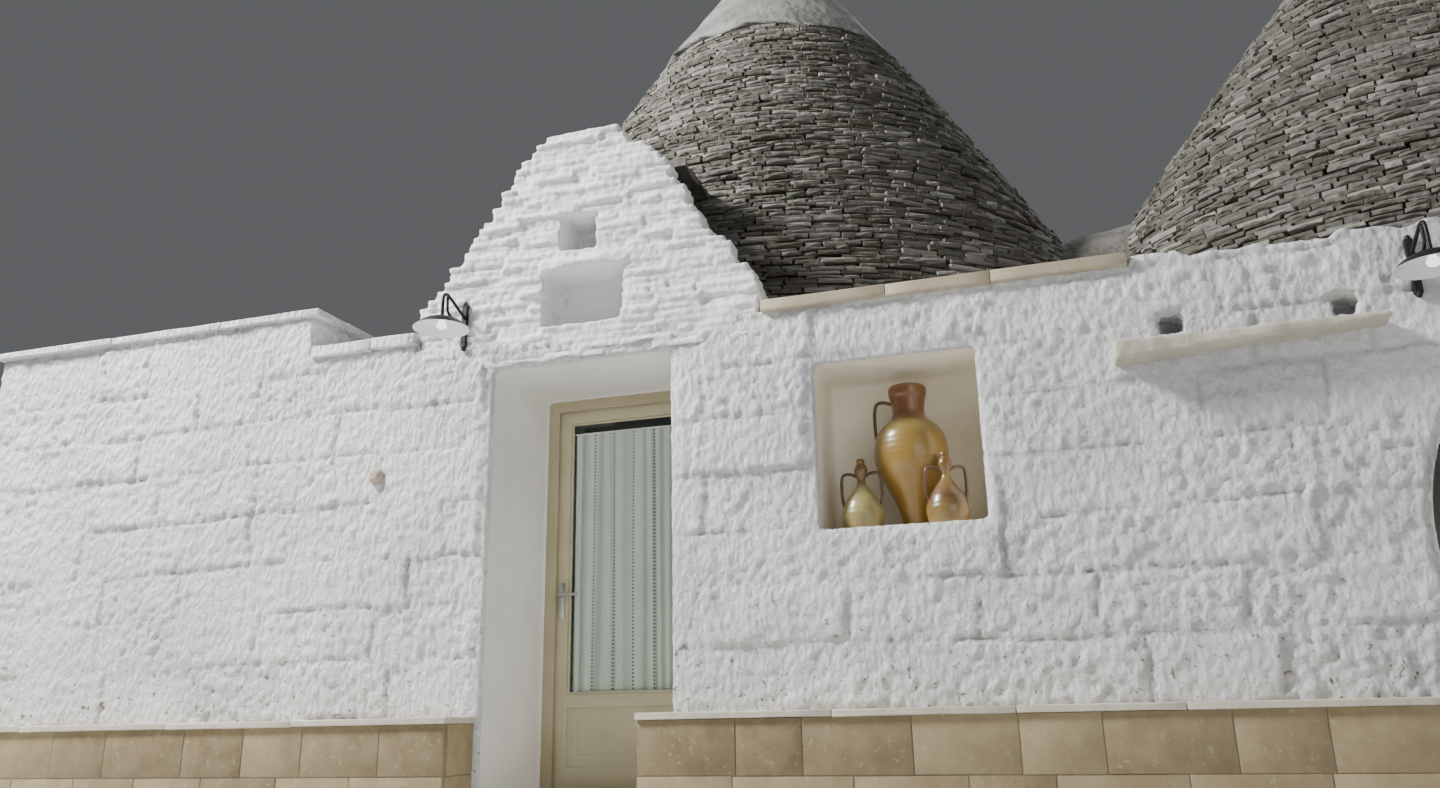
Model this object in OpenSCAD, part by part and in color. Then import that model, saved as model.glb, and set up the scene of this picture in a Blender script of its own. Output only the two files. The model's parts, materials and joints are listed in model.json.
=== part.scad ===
// Trullo house: two dry stone cones on thick whitewashed walls, with a gabled
// glazed entrance, a lit niche and an open arch in the long front.
// In the house's own grid x runs along the front from the left jamb of the
// entrance, y goes in from the face of the front wall and z up from the ground.

/* [Rooms] */
// Height of the floor above the ground
floor_h = 100; // [60:10:200]
// Height of the wall tops that carry the cones
ledge_z = 2415; // [2400:5:2700]
// Side of the square main room
main_room = 3800; // [3400:20:4200]
// Distance from the left jamb of the entrance to the main cone's axis
main_axis_x = 920; // [700:10:1100]
// Side of the square second room
second_room = 3600; // [3200:20:4000]
// Width of the alcove in the left wing
alcove_w = 1240; // [900:10:1600]

/* [Walls] */
// Thickness of the front wall of the main room
main_front_t = 1200; // [1000:10:1500]
// Thickness of the front wall of the second room
second_front_t = 1100; // [1000:10:1200]
// Thickness of the front wall of the left wing
wing_front_t = 800; // [500:10:1000]
// Thickness of the left end wall
left_end_t = 450; // [400:10:900]
// Thickness of the wall between the alcove and the main room
alcove_wall_t = 820; // [600:10:1100]
// Thickness of the wall between the two domed rooms
middle_wall_t = 630; // [500:10:900]
// Thickness of the right end wall
right_end_t = 1050; // [950:10:1400]
// Thickness of the back wall behind the main room
main_back_t = 1100; // [1050:10:1500]
// Distance that the main front runs on past the main room's right wall
main_front_past = 420; // [300:10:500]

/* [Entrance] */
// Width of the door opening
door_w = 1030; // [900:10:1200]
// Height of the top of the door opening above the ground
door_top = 2300; // [2150:10:2350]
// Depth of the plastered reveal in front of the door frame
reveal_d = 650; // [300:10:800]
// Width of the fixed door frame
frame_w = 70; // [50:1:90]
// Depth of the fixed door frame
frame_d = 75; // [65:1:100]
// Width of the door leaf's stiles and top rail
stile_w = 75; // [60:1:100]
// Thickness of the door leaf
leaf_t = 50; // [40:1:60]
// Height of the door leaf's mid rail above the floor
mid_rail_z = 440; // [300:10:800]
// Height of the door leaf's mid rail
mid_rail_h = 70; // [50:1:120]
// Height of the door leaf's bottom rail
bottom_rail_h = 120; // [80:1:160]
// Gap all round between the leaf and its frame
leaf_gap = 5; // [5:0.5:8]
// Width of the stop that the closed leaf rests behind
stop_w = 12; // [8:1:20]
// Height of the lever handle above the floor
handle_z = 1050; // [900:10:1150]

/* [Roof edges] */
// Distance from the left jamb of the entrance to the high parapet's right end
high_parapet_gap = 1170; // [800:10:1500]
// Height of the high parapet above the wall tops
high_parapet_h = 330; // [200:10:500]
// Height of the low left parapet above the wall tops
low_parapet_h = 71; // [50:1:150]
// Thickness of the parapets
parapet_t = 180; // [150:5:220]
// Thickness of the high parapet's coping
high_coping_t = 45; // [30:1:80]
// Thickness of the low left coping
low_coping_t = 70; // [40:1:90]
// Thickness of the right coping
right_coping_t = 60; // [40:1:90]
// Distance that the copings reach past the wall face
coping_over = 20; // [5:1:40]
// Thickness of the flat roof of the left wing
wing_roof_t = 100; // [80:5:150]

/* [Gable] */
// Distance from the left jamb of the entrance to the middle of the gable
gable_x = 520; // [450:10:600]
// Width of the gable at its foot
gable_w = 1980; // [1800:10:2100]
// Height of the gable above the wall tops
gable_h = 1235; // [900:5:1400]
// Thickness of the gable
gable_t = 400; // [340:10:450]

/* [Main cone] */
// Distance from the face of the front to the foot of each cone
cone_foot_y = 242; // [180:2:320]
// Height from the wall tops to the point where the main cone would end
main_cone_h = 4797; // [4400:1:5200]
// Distance that the main cone's side bulges past a straight line
main_bulge = 110; // [0:5:200]
// Height at which the main cone's white cap begins, as a share of the cone's height
main_cap_share = 0.67; // [0.6:0.01:0.75]
// Number of stone courses of the main cone below its cap
main_courses = 26; // [12:1:26]

/* [Second cone] */
// Height from the wall tops to the point where the second cone would end
second_cone_h = 3575; // [3200:1:4000]
// Distance that the second cone's side bulges past a straight line
second_bulge = 60; // [0:5:150]
// Height at which the second cone's white cap begins, as a share of the cone's height
second_cap_share = 0.81; // [0.7:0.01:0.83]
// Number of stone courses of the second cone below its cap
second_courses = 22; // [12:1:22]

/* [Domes and caps] */
// Distance that the domes' feet stand in from the room walls
dome_inset = 50; // [20:5:80]
// Radius of the closing stone that each dome ends under
crown_r = 300; // [200:10:400]
// Distance that the plastered caps stand out past the stones
cap_skin = 15; // [5:1:30]
// Radius of the top of the plastered caps
cap_top_r = 190; // [150:5:240]
// Radius of the pinnacle's disc
disc_r = 230; // [200:5:280]
// Thickness of the pinnacle's disc
disc_t = 60; // [40:1:90]
// Height of the pinnacle's neck
neck_h = 220; // [120:5:300]
// Radius of the pinnacle's ball
ball_r = 150; // [100:5:180]
// Width of the stone gutter in the valley between the cones
valley_w = 200; // [120:10:300]

/* [Arch] */
// Width of the open arch
arch_w = 2000; // [1700:10:2200]
// Height above the ground at which the arch springs
arch_spring_z = 1100; // [900:10:1200]
// Width of the arched passage to the alcove
passage_w = 1600; // [1200:10:1800]
// Height above the ground at which the passage's arch springs
passage_spring_z = 1300; // [1100:10:1400]

/* [Niches] */
// Distance from the right jamb of the entrance to the lit niche
niche_gap = 719; // [600:1:900]
// Width of the lit niche
niche_w = 783; // [600:1:900]
// Height of the lit niche's sill above the ground
niche_z = 1302; // [1200:1:1400]
// Height of the lit niche
niche_h = 825; // [600:1:900]
// Depth of the lit niche
niche_d = 450; // [420:10:600]
// Width of the gable's lower niche
low_niche_w = 460; // [300:10:500]
// Height of the gable's lower niche
low_niche_h = 300; // [200:10:350]
// Width of the gable's upper niche
high_niche_w = 210; // [150:10:300]
// Height of the gable's upper niche
high_niche_h = 205; // [150:5:250]
// Depth of the gable's niches
gable_niche_d = 250; // [150:10:300]
// Size of the two square holes over the shelf
hole_w = 120; // [80:5:150]
// Depth of the two square holes over the shelf
hole_d = 150; // [80:10:300]

/* [Benches and shelf] */
// Height of the benches above the ground
bench_h = 500; // [400:10:600]
// Depth of the benches' tiled base
bench_d = 285; // [200:5:400]
// Thickness of the benches' top slab
bench_top_t = 30; // [20:1:60]
// Distance that the benches' top slab reaches past the base
bench_over = 15; // [5:1:30]
// Distance that the right bench runs on past the right jamb of the entrance towards it
bench_lap = 80; // [0:5:120]
// Length of the shelf slab
shelf_l = 1090; // [800:10:1200]
// Depth of the shelf slab
shelf_d = 150; // [80:5:200]
// Thickness of the shelf slab at its thick left end
shelf_t = 90; // [60:1:120]
// Height of the shelf slab's top above the ground
shelf_z = 2030; // [1900:10:2040]
// Radius of the round clay boss on the wall
boss_r = 45; // [30:1:60]
// Distance that the round clay boss stands out from the wall
boss_out = 40; // [20:1:60]

/* [Wall lamps] */
// Height of the left lamp's backplate top above the ground
left_lamp_z = 2680; // [2600:5:2700]
// Height of the right lamp's backplate top above the ground
right_lamp_z = 2370; // [2300:5:2400]
// Height of a lamp's backplate
lamp_plate_h = 250; // [180:5:300]
// Distance from the wall to the middle of a lamp's shade
lamp_arm = 250; // [200:5:350]
// Radius of a lamp's shade
shade_r = 165; // [120:5:200]
// Height of a lamp's shade
shade_h = 60; // [50:1:90]
// Thickness of a lamp's shade
shade_t = 4; // [3:0.5:6]
// Radius of a lamp's iron rods
rod_r = 8; // [6:0.5:12]

/* [Jars] */
// Height of the tall jar
jar_h = 640; // [500:5:700]
// Largest radius of the tall jar
jar_r = 168; // [140:1:175]
// Height of the two small jugs
jug_h = 310; // [250:5:350]
// Largest radius of the two small jugs
jug_r = 105; // [90:1:110]

/* [Hidden] */
$fn = 64;

// Room grid
main_x0 = main_axis_x - main_room / 2;
main_x1 = main_axis_x + main_room / 2;
main_y1 = main_front_t + main_room;
main_axis_y = main_front_t + main_room / 2;
main_cone_r = main_axis_y - cone_foot_y;
main_front_end = main_x1 + main_front_past;
second_x0 = main_x1 + middle_wall_t;
second_x1 = second_x0 + second_room;
second_y1 = second_front_t + second_room;
second_axis_x = second_x0 + second_room / 2;
second_axis_y = second_front_t + second_room / 2;
second_cone_r = second_axis_y - cone_foot_y;
valley_x = main_front_end; // the cones meet over the joint of the two fronts
alcove_x1 = main_x0 - alcove_wall_t;
alcove_x0 = alcove_x1 - alcove_w;
left_x = alcove_x0 - left_end_t;
right_x = second_x1 + right_end_t;
back_y = main_y1 + main_back_t;
arch_x0 = second_axis_x - arch_w / 2;
arch_x1 = second_axis_x + arch_w / 2;
past = 1;       // distance that cuts run past a face
soft_gap = 0.3; // distance that cloth keeps from its neighbours

// The part's origin is at the bottom centre of the whole house.
front_reach = max(lamp_arm + shade_r, bench_d + bench_over, shelf_d);
centre_x = (left_x - coping_over + right_x) / 2;
centre_y = (back_y + coping_over - front_reach) / 2;

module on_grid() {
    translate([-centre_x, -centre_y, 0]) children();
}

// A block between two opposite corners
module block(low, high) {
    translate(low) cube(high - low);
}

// An outline in x and z, drawn back from the plane y0 to the plane y1
module upright(y0, y1) {
    translate([0, y1, 0]) rotate([90, 0, 0]) linear_extrude(y1 - y0) children();
}

// Heights above the wall tops at which the white caps begin
main_cap_z = main_cap_share * main_cone_h;
second_cap_z = second_cap_share * second_cone_h;

// Radius of a cone's outer side at height z above the wall tops
function side_r(z, r, h, bulge) = r * (1 - z / h) + 4 * bulge * z / h * (1 - z / h);

// Height above the wall tops at which a cone's side has radius d
function side_z(d, r, h, bulge) = let (b = r - 4 * bulge)
    bulge > 0 ? h * (sqrt(b * b + 16 * bulge * (r - d)) - b) / (8 * bulge) : h * (r - d) / r;

// Stepped outer side of a cone of stone courses, from its foot up
function courses(r, h, bulge, top, n) = [for (i = [0 : n - 1])
    let (course_r = side_r((i + 0.5) * top / n, r, h, bulge))
    each [[course_r, i * top / n], [course_r, (i + 1) * top / n]]];

// Inner side of a dome, from its crown down
dome_bulge = 60;
dome_steps = 10;
function dome_side(r, top) = [for (i = [dome_steps : -1 : 0]) let (s = i / dome_steps)
    [r + (crown_r - r) * s + 4 * dome_bulge * s * (1 - s), top * s]];

// Floors, step and walls

module floors() color("tan") on_grid() {
    linear_extrude(floor_h) polygon([[main_x0, main_front_t], [0, main_front_t], [0, reveal_d],
        [door_w, reveal_d], [door_w, main_front_t], [main_x1, main_front_t],
        [main_x1, main_y1], [main_x0, main_y1], [main_x0, main_axis_y + passage_w / 2],
        [alcove_x1, main_axis_y + passage_w / 2], [alcove_x1, main_y1], [alcove_x0, main_y1],
        [alcove_x0, wing_front_t], [alcove_x1, wing_front_t],
        [alcove_x1, main_axis_y - passage_w / 2], [main_x0, main_axis_y - passage_w / 2]]);
    linear_extrude(floor_h) polygon([[second_x0, second_front_t], [arch_x0, second_front_t],
        [arch_x0, 0], [arch_x1, 0], [arch_x1, second_front_t], [second_x1, second_front_t],
        [second_x1, second_y1], [second_x0, second_y1]]);
}

module doorstep() color("tan") on_grid()
    block([0, 0, 0], [door_w, reveal_d, floor_h]);

module wing_front_wall() color("whitesmoke") on_grid()
    block([left_x, 0, 0], [alcove_x1, wing_front_t, ledge_z]);

module entrance_left_wall() color("whitesmoke") on_grid()
    block([alcove_x1, 0, 0], [0, main_front_t, ledge_z]);

module entrance_lintel() color("whitesmoke") on_grid()
    block([0, 0, door_top], [door_w, main_front_t, ledge_z]);

niche_x0 = door_w + niche_gap;
module niche_wall() color("whitesmoke") on_grid() difference() {
    block([door_w, 0, 0], [main_front_end, main_front_t, ledge_z]);
    block([niche_x0, -past, niche_z], [niche_x0 + niche_w, niche_d, niche_z + niche_h]);
}

// The two holes sit just above the shelf slab, near its ends.
shelf_lap = 110;      // distance that the shelf slab begins before the main front ends
left_hole_gap = 90;   // distance from the main front's end to the left hole
right_hole_gap = 220; // distance from the right hole's left side to the arch
shelf_x0 = main_front_end - shelf_lap;
hole_places = [main_front_end + left_hole_gap, arch_x0 - right_hole_gap];
hole_lift = 30;
module shelf_wall() color("whitesmoke") on_grid() difference() {
    block([main_front_end, 0, 0], [arch_x0, second_front_t, ledge_z]);
    for (x = hole_places)
        block([x, -past, shelf_z + hole_lift], [x + hole_w, hole_d, shelf_z + hole_lift + hole_w]);
}

// Wall over an arch of width w that springs at height z, between x = 0 and x = w
module arch_head(w, z) {
    difference() {
        translate([0, z]) square([w, ledge_z - z]);
        translate([w / 2, z]) circle(d = w, $fn = 96);
    }
}

module arch_wall() color("whitesmoke") on_grid()
    translate([arch_x0, 0, 0]) upright(0, second_front_t) arch_head(arch_w, arch_spring_z);

module arch_right_wall() color("whitesmoke") on_grid()
    block([arch_x1, 0, 0], [right_x, second_front_t, ledge_z]);

module left_end_wall() color("whitesmoke") on_grid()
    block([left_x, wing_front_t, 0], [alcove_x0, back_y, ledge_z]);

module alcove_wall() color("whitesmoke") on_grid() difference() {
    block([alcove_x1, main_front_t, 0], [main_x0, main_y1, ledge_z]);
    block([alcove_x1 - past, main_axis_y - passage_w / 2, -past],
        [main_x0 + past, main_axis_y + passage_w / 2, passage_spring_z]);
    translate([alcove_x1 - past, main_axis_y, passage_spring_z]) rotate([0, 90, 0])
        cylinder(d = passage_w, h = alcove_wall_t + 2 * past);
}

module main_back_wall() color("whitesmoke") on_grid()
    block([alcove_x0, main_y1, 0], [main_front_end, back_y, ledge_z]);

module middle_wall() color("whitesmoke") on_grid() linear_extrude(ledge_z)
    polygon([[main_x1, main_front_t], [main_front_end, main_front_t],
        [main_front_end, second_front_t], [second_x0, second_front_t],
        [second_x0, second_y1], [main_front_end, second_y1],
        [main_front_end, main_y1], [main_x1, main_y1]]);

module second_back_wall() color("whitesmoke") on_grid()
    block([main_front_end, second_y1, 0], [second_x1, back_y, ledge_z]);

module right_end_wall() color("whitesmoke") on_grid()
    block([second_x1, second_front_t, 0], [right_x, back_y, ledge_z]);

// Roof edges

// Three-cornered stones that lead each square room over to its round dome
squinch_h = 150;
module squinches(side) {
    dome_r = side / 2 - dome_inset;
    leg = side - dome_r * sqrt(2);
    for (turn = [0 : 90 : 270]) rotate([0, 0, turn])
        translate([-side / 2, -side / 2, ledge_z - squinch_h]) linear_extrude(squinch_h)
            polygon([[0, 0], [leg, 0], [0, leg]]);
}

module corner_squinches() color("silver") on_grid() {
    translate([main_axis_x, main_axis_y, 0]) squinches(main_room);
    translate([second_axis_x, second_axis_y, 0]) squinches(second_room);
}

wing_bearing = 100;
module wing_roof() color("gray") on_grid() difference() {
    block([left_x + parapet_t, parapet_t, ledge_z],
        [alcove_x1 + wing_bearing, back_y - parapet_t, ledge_z + wing_roof_t]);
    main_cone_body();
}

// The high parapet turns back at its right end and runs into the main cone
return_r = side_r(high_parapet_h + high_coping_t, main_cone_r, main_cone_h, main_bulge);
return_past = 100; // the return reaches this far into the cone
return_y1 = main_axis_y + return_past
    - sqrt(pow(return_r, 2) - pow(main_axis_x + high_parapet_gap + parapet_t + coping_over, 2));

// Outline in x and z of the front parapets, high over the wing and low by the gable
module left_parapet() color("whitesmoke") on_grid() {
    upright(0, parapet_t) polygon([[left_x, ledge_z], [gable_x - gable_w / 2, ledge_z],
        [gable_x - gable_w / 2, ledge_z + low_parapet_h],
        [-high_parapet_gap, ledge_z + low_parapet_h],
        [-high_parapet_gap, ledge_z + high_parapet_h], [left_x, ledge_z + high_parapet_h]]);
    block([left_x, parapet_t, ledge_z],
        [left_x + parapet_t, back_y, ledge_z + high_parapet_h]);
    block([left_x + parapet_t, back_y - parapet_t, ledge_z],
        [alcove_x1 + wing_bearing, back_y, ledge_z + high_parapet_h]);
    difference() {
        block([-high_parapet_gap - parapet_t, parapet_t, ledge_z],
            [-high_parapet_gap, return_y1, ledge_z + high_parapet_h]);
        main_cone_body();
    }
}

module wing_coping() color("gainsboro") on_grid() {
    z0 = ledge_z + high_parapet_h;
    z1 = z0 + high_coping_t;
    inner = parapet_t + coping_over;
    block([left_x - coping_over, -coping_over, z0],
        [-high_parapet_gap + coping_over, inner, z1]);
    block([left_x - coping_over, inner, z0], [left_x + inner, back_y + coping_over, z1]);
    block([left_x + inner, back_y - inner, z0],
        [alcove_x1 + wing_bearing, back_y + coping_over, z1]);
    difference() {
        block([-high_parapet_gap - inner, inner, z0],
            [-high_parapet_gap + coping_over, return_y1, z1]);
        main_cone_body();
    }
}

module left_coping() color("gainsboro") on_grid()
    block([-high_parapet_gap, -coping_over, ledge_z + low_parapet_h],
        [gable_x - gable_w / 2, parapet_t + coping_over, ledge_z + low_parapet_h + low_coping_t]);

module right_coping() color("wheat") on_grid()
    block([gable_x + gable_w / 2, -coping_over, ledge_z],
        [main_front_end, parapet_t + coping_over, ledge_z + right_coping_t]);

// Gable

// Shoulders of the gable as shares of its half width and its height
gable_right = [[1, 0], [1, 0.09], [0.86, 0.29], [0.68, 0.46], [0.46, 0.8], [0.2, 0.98]];
gable_left = [[-0.22, 1], [-0.44, 0.84], [-0.49, 0.75], [-0.84, 0.35], [-1, 0.22], [-1, 0]];
module gable_outline(w, h) {
    translate([gable_x, ledge_z])
        polygon([for (share = concat(gable_right, gable_left)) [share[0] * w / 2, share[1] * h]]);
}

low_niche_lift = 85;
high_niche_lift = 515;
niche_shift = 30;
// The gable's back is cut round the foot of the cone.
module gable() color("whitesmoke") on_grid() difference() {
    upright(0, gable_t) gable_outline(gable_w, gable_h);
    translate([gable_x, 0, ledge_z]) {
        block([-low_niche_w / 2, -past, low_niche_lift],
            [low_niche_w / 2, gable_niche_d, low_niche_lift + low_niche_h]);
        block([-niche_shift - high_niche_w / 2, -past, high_niche_lift],
            [high_niche_w / 2 - niche_shift, gable_niche_d, high_niche_lift + high_niche_h]);
    }
    main_cone_body();
}

// Stone saddle that runs from the gable back to the cone, straight up to its right shoulder
saddle_inset = 60;
saddle_right = gable_x + gable_right[2][0] * (gable_w / 2 - saddle_inset);
module gable_roof() color("dimgray") on_grid() difference() {
    upright(gable_t, main_axis_y)
        gable_outline(gable_w - 2 * saddle_inset, gable_h - saddle_inset);
    main_cone_body();
    block([saddle_right, gable_t - past, ledge_z - past],
        [gable_x + gable_w, main_axis_y + past, ledge_z + gable_h]);
}

// Cones

cone_fn = 60;
module main_cone_body() {
    translate([main_axis_x, main_axis_y, ledge_z]) rotate_extrude($fn = 180)
        polygon(concat([[0, 0]], courses(main_cone_r, main_cone_h, main_bulge, main_cap_z,
            main_courses), [[0, main_cap_z]]));
}

// Half of a hollow cone: its stepped courses outside and its dome inside
module half_cone(r, h, bulge, top, n, dome_r, turn) {
    translate([0, 0, ledge_z]) rotate([0, 0, turn]) rotate_extrude(angle = 180, $fn = cone_fn)
        polygon(concat(courses(r, h, bulge, top, n), dome_side(dome_r, top)));
}

module half_main_cone(turn) {
    difference() {
        translate([main_axis_x, main_axis_y, 0]) half_cone(main_cone_r, main_cone_h, main_bulge,
            main_cap_z, main_courses, main_room / 2 - dome_inset, turn);
        block([valley_x - valley_w / 2, 0, ledge_z - past],
            [valley_x + main_cone_r, back_y, ledge_z + main_cone_h]);
    }
}

module main_cone_front() color("dimgray") on_grid() half_main_cone(180);
module main_cone_back() color("dimgray") on_grid() half_main_cone(0);

module half_second_cone(turn) {
    difference() {
        translate([second_axis_x, second_axis_y, 0]) half_cone(second_cone_r, second_cone_h,
            second_bulge, second_cap_z, second_courses, second_room / 2 - dome_inset, turn);
        block([valley_x - second_cone_r, 0, ledge_z - past],
            [valley_x + valley_w / 2, back_y, ledge_z + second_cone_h]);
    }
}

module second_cone_front() color("dimgray") on_grid() half_second_cone(180);
module second_cone_back() color("dimgray") on_grid() half_second_cone(0);

// Stones that fill the valley where the two cones meet, up to the lower cone's side
valley_steps = 16;
valley_reach1 = sqrt(pow(main_cone_r, 2) - pow(valley_x - main_axis_x, 2));
valley_reach2 = sqrt(pow(second_cone_r, 2) - pow(second_axis_x - valley_x, 2));
valley_y0 = max(main_axis_y - valley_reach1, second_axis_y - valley_reach2);
valley_y1 = min(main_axis_y + valley_reach1, second_axis_y + valley_reach2);
function valley_z(y) = min(
    side_z(norm([valley_x - main_axis_x, y - main_axis_y]), main_cone_r, main_cone_h, main_bulge),
    side_z(norm([second_axis_x - valley_x, y - second_axis_y]), second_cone_r, second_cone_h,
        second_bulge));
module valley_gutter() color("gray") on_grid()
    translate([valley_x - valley_w / 2, 0, ledge_z]) rotate([90, 0, 90]) linear_extrude(valley_w)
        polygon([for (i = [0 : valley_steps]) let (y = valley_y0 + (valley_y1 - valley_y0) * i / valley_steps)
            [y, i == 0 || i == valley_steps ? 0 : valley_z(y)]]);

// Whitewashed cap of a cone, up to the flat that carries its pinnacle
cap_steps = 6;
function cap_top_z(r, h, bulge) = side_z(cap_top_r, r, h, bulge);
module cap(r, h, bulge, bottom) {
    top = cap_top_z(r, h, bulge);
    translate([0, 0, ledge_z]) rotate_extrude($fn = cone_fn) polygon(concat([[0, bottom]],
        [for (i = [0 : cap_steps]) let (z = bottom + (top - bottom) * i / cap_steps)
            [side_r(z, r, h, bulge) + cap_skin, z]], [[0, top]]));
}

module cone_caps() color("white") on_grid() {
    translate([main_axis_x, main_axis_y, 0])
        cap(main_cone_r, main_cone_h, main_bulge, main_cap_z);
    translate([second_axis_x, second_axis_y, 0])
        cap(second_cone_r, second_cone_h, second_bulge, second_cap_z);
}

// Pinnacle: a tapered neck, a disc and a ball
neck_waist = 0.6;
module pinnacle() {
    seat = sqrt(pow(ball_r, 2) - pow(ball_r / 2, 2));
    cylinder(r1 = cap_top_r, r2 = cap_top_r * neck_waist, h = neck_h);
    translate([0, 0, neck_h]) cylinder(r = disc_r, h = disc_t);
    translate([0, 0, neck_h + disc_t + seat]) sphere(r = ball_r, $fn = 40);
}

module pinnacles() color("white") on_grid() {
    translate([main_axis_x, main_axis_y,
        ledge_z + cap_top_z(main_cone_r, main_cone_h, main_bulge)]) pinnacle();
    translate([second_axis_x, second_axis_y,
        ledge_z + cap_top_z(second_cone_r, second_cone_h, second_bulge)]) pinnacle();
}

// Benches, shelf and boss

// Ends in x of the left, the right and the far right bench
bench_door_gap = 20;
bench_arch_gap = 140;
bench_spans = [[left_x, -bench_door_gap], [door_w - bench_lap, arch_x0 - bench_arch_gap],
    [arch_x1 + bench_arch_gap, right_x]];
module benches() color("tan") on_grid() for (span = bench_spans)
    block([span[0], -bench_d, 0], [span[1], 0, bench_h - bench_top_t]);

module bench_tops() color("wheat") on_grid() for (span = bench_spans)
    block([span[0], -bench_d - bench_over, bench_h - bench_top_t], [span[1], 0, bench_h]);

module shelf_slab() color("whitesmoke") on_grid() upright(-shelf_d, 0)
    polygon([[shelf_x0, shelf_z], [shelf_x0, shelf_z - shelf_t],
        [shelf_x0 + shelf_l, shelf_z - shelf_t / 3], [shelf_x0 + shelf_l, shelf_z]]);

boss_place = [-670, 0, 1760];
module wall_boss() color("peru") on_grid() translate(boss_place) rotate([90, 0, 0])
    cylinder(r1 = boss_r, r2 = boss_r * 0.8, h = boss_out);

// Glazed door

// Front face of the leaf, behind the stop at the front of the frame
leaf_y0 = reveal_d + frame_d - leaf_t;
leaf_y1 = reveal_d + frame_d;
leaf_x0 = frame_w + leaf_gap;
leaf_x1 = door_w - frame_w - leaf_gap;
leaf_z0 = floor_h + leaf_gap + 5;
leaf_z1 = door_top - frame_w - leaf_gap;

// Frame on three sides of the opening, with its inner edge w in from the wall
module three_sides(y0, y1, w) {
    difference() {
        block([0, y0, floor_h], [door_w, y1, door_top]);
        block([w, y0 - past, floor_h - past], [door_w - w, y1 + past, door_top - w]);
    }
}

stop_y1 = leaf_y0 - leaf_gap;
module door_frame() color("beige") on_grid() three_sides(stop_y1, leaf_y1, frame_w);
module door_stop() color("beige") on_grid() three_sides(reveal_d, stop_y1, frame_w + stop_w);

glass_x0 = leaf_x0 + stile_w;
glass_x1 = leaf_x1 - stile_w;
glass_z0 = floor_h + mid_rail_z + mid_rail_h;
glass_z1 = leaf_z1 - stile_w;
panel_z0 = leaf_z0 + bottom_rail_h;
panel_z1 = floor_h + mid_rail_z;
module leaf_frame() color("beige") on_grid() difference() {
    block([leaf_x0, leaf_y0, leaf_z0], [leaf_x1, leaf_y1, leaf_z1]);
    block([glass_x0, leaf_y0 - past, glass_z0], [glass_x1, leaf_y1 + past, glass_z1]);
    block([glass_x0, leaf_y0 - past, panel_z0], [glass_x1, leaf_y1 + past, panel_z1]);
}

panel_t = 20;
glass_t = 8;
leaf_mid_y = (leaf_y0 + leaf_y1) / 2;
module leaf_panel() color("beige") on_grid()
    block([glass_x0, leaf_mid_y - panel_t / 2, panel_z0], [glass_x1, leaf_mid_y + panel_t / 2, panel_z1]);

module leaf_glass() color("lightcyan", 0.4) on_grid()
    block([glass_x0, leaf_mid_y - glass_t / 2, glass_z0], [glass_x1, leaf_mid_y + glass_t / 2, glass_z1]);

// The hinge barrels stand on the room side, past the edge of the leaf.
barrel_r = 8;
barrel_h = 50;
barrel_gap = 0.5;
hinge_x = leaf_x1 + leaf_gap / 2;
hinge_y = leaf_y1 + barrel_r + 1;
hinge_inset = 200; // distance from the leaf's ends to its outer hinges
hinge_heights = [leaf_z0 + hinge_inset, (leaf_z0 + leaf_z1) / 2, leaf_z1 - hinge_inset];
pin_r = 4;
pin_play = 0.05;
hinge_plate_t = 3;
hinge_plate_w = 40;

module frame_hinges() color("silver") on_grid() for (z = hinge_heights) {
    translate([hinge_x, hinge_y, z - barrel_h]) cylinder(r = barrel_r, h = barrel_h);
    translate([hinge_x, hinge_y, z - past]) cylinder(r = pin_r, h = barrel_h - 10);
    block([hinge_x, leaf_y1, z - barrel_h], [hinge_x + hinge_plate_w, leaf_y1 + hinge_plate_t, z]);
}

module leaf_hinges() color("silver") on_grid() for (z = hinge_heights) difference() {
    union() {
        translate([hinge_x, hinge_y, z + barrel_gap]) cylinder(r = barrel_r, h = barrel_h);
        block([hinge_x - hinge_plate_w, leaf_y1, z + barrel_gap],
            [hinge_x, leaf_y1 + hinge_plate_t, z + barrel_gap + barrel_h]);
    }
    translate([hinge_x, hinge_y, z]) cylinder(r = pin_r + pin_play, h = barrel_h - 8);
}

// Lever handles on both faces of the left stile
handle_x = leaf_x0 + stile_w / 2;
handle_plate = [38, 8, 200];
lever_l = 110;
lever_out = 45;
lever_r = 9;
module handle_side(side) {
    face_y = side < 0 ? leaf_y0 : leaf_y1;
    translate([handle_x, face_y, floor_h + handle_z]) {
        translate([-handle_plate[0] / 2, side < 0 ? -handle_plate[1] : 0, -handle_plate[2] * 0.65])
            cube(handle_plate);
        rotate([-90 * side, 0, 0]) cylinder(r = lever_r, h = lever_out);
        translate([0, side * lever_out, 0]) rotate([0, 90, 0]) cylinder(r = lever_r, h = lever_l);
        translate([0, side * lever_out, 0]) sphere(r = lever_r);
    }
}
module door_handle() color("dimgray") on_grid() {
    handle_side(-1);
    handle_side(1);
}

// The curtain hangs on the room side of the glass, from a rod across the leaf.
curtain_rod_r = 5;
rod_y = leaf_mid_y + glass_t / 2 + 12;
rod_drop = 60; // distance from the top of the glass down to the rod
rod_z = glass_z1 - rod_drop;
curtain_t = 16;
module curtain_rod() color("white") on_grid() translate([glass_x0, rod_y, rod_z]) rotate([0, 90, 0])
    cylinder(r = curtain_rod_r, h = glass_x1 - glass_x0);

module curtain() color("honeydew") on_grid()
    block([glass_x0 + 10, rod_y - curtain_t / 2, glass_z0 + 5],
        [glass_x1 - 10, rod_y + curtain_t / 2, rod_z - curtain_rod_r - soft_gap]);

// Wall lamps

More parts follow.
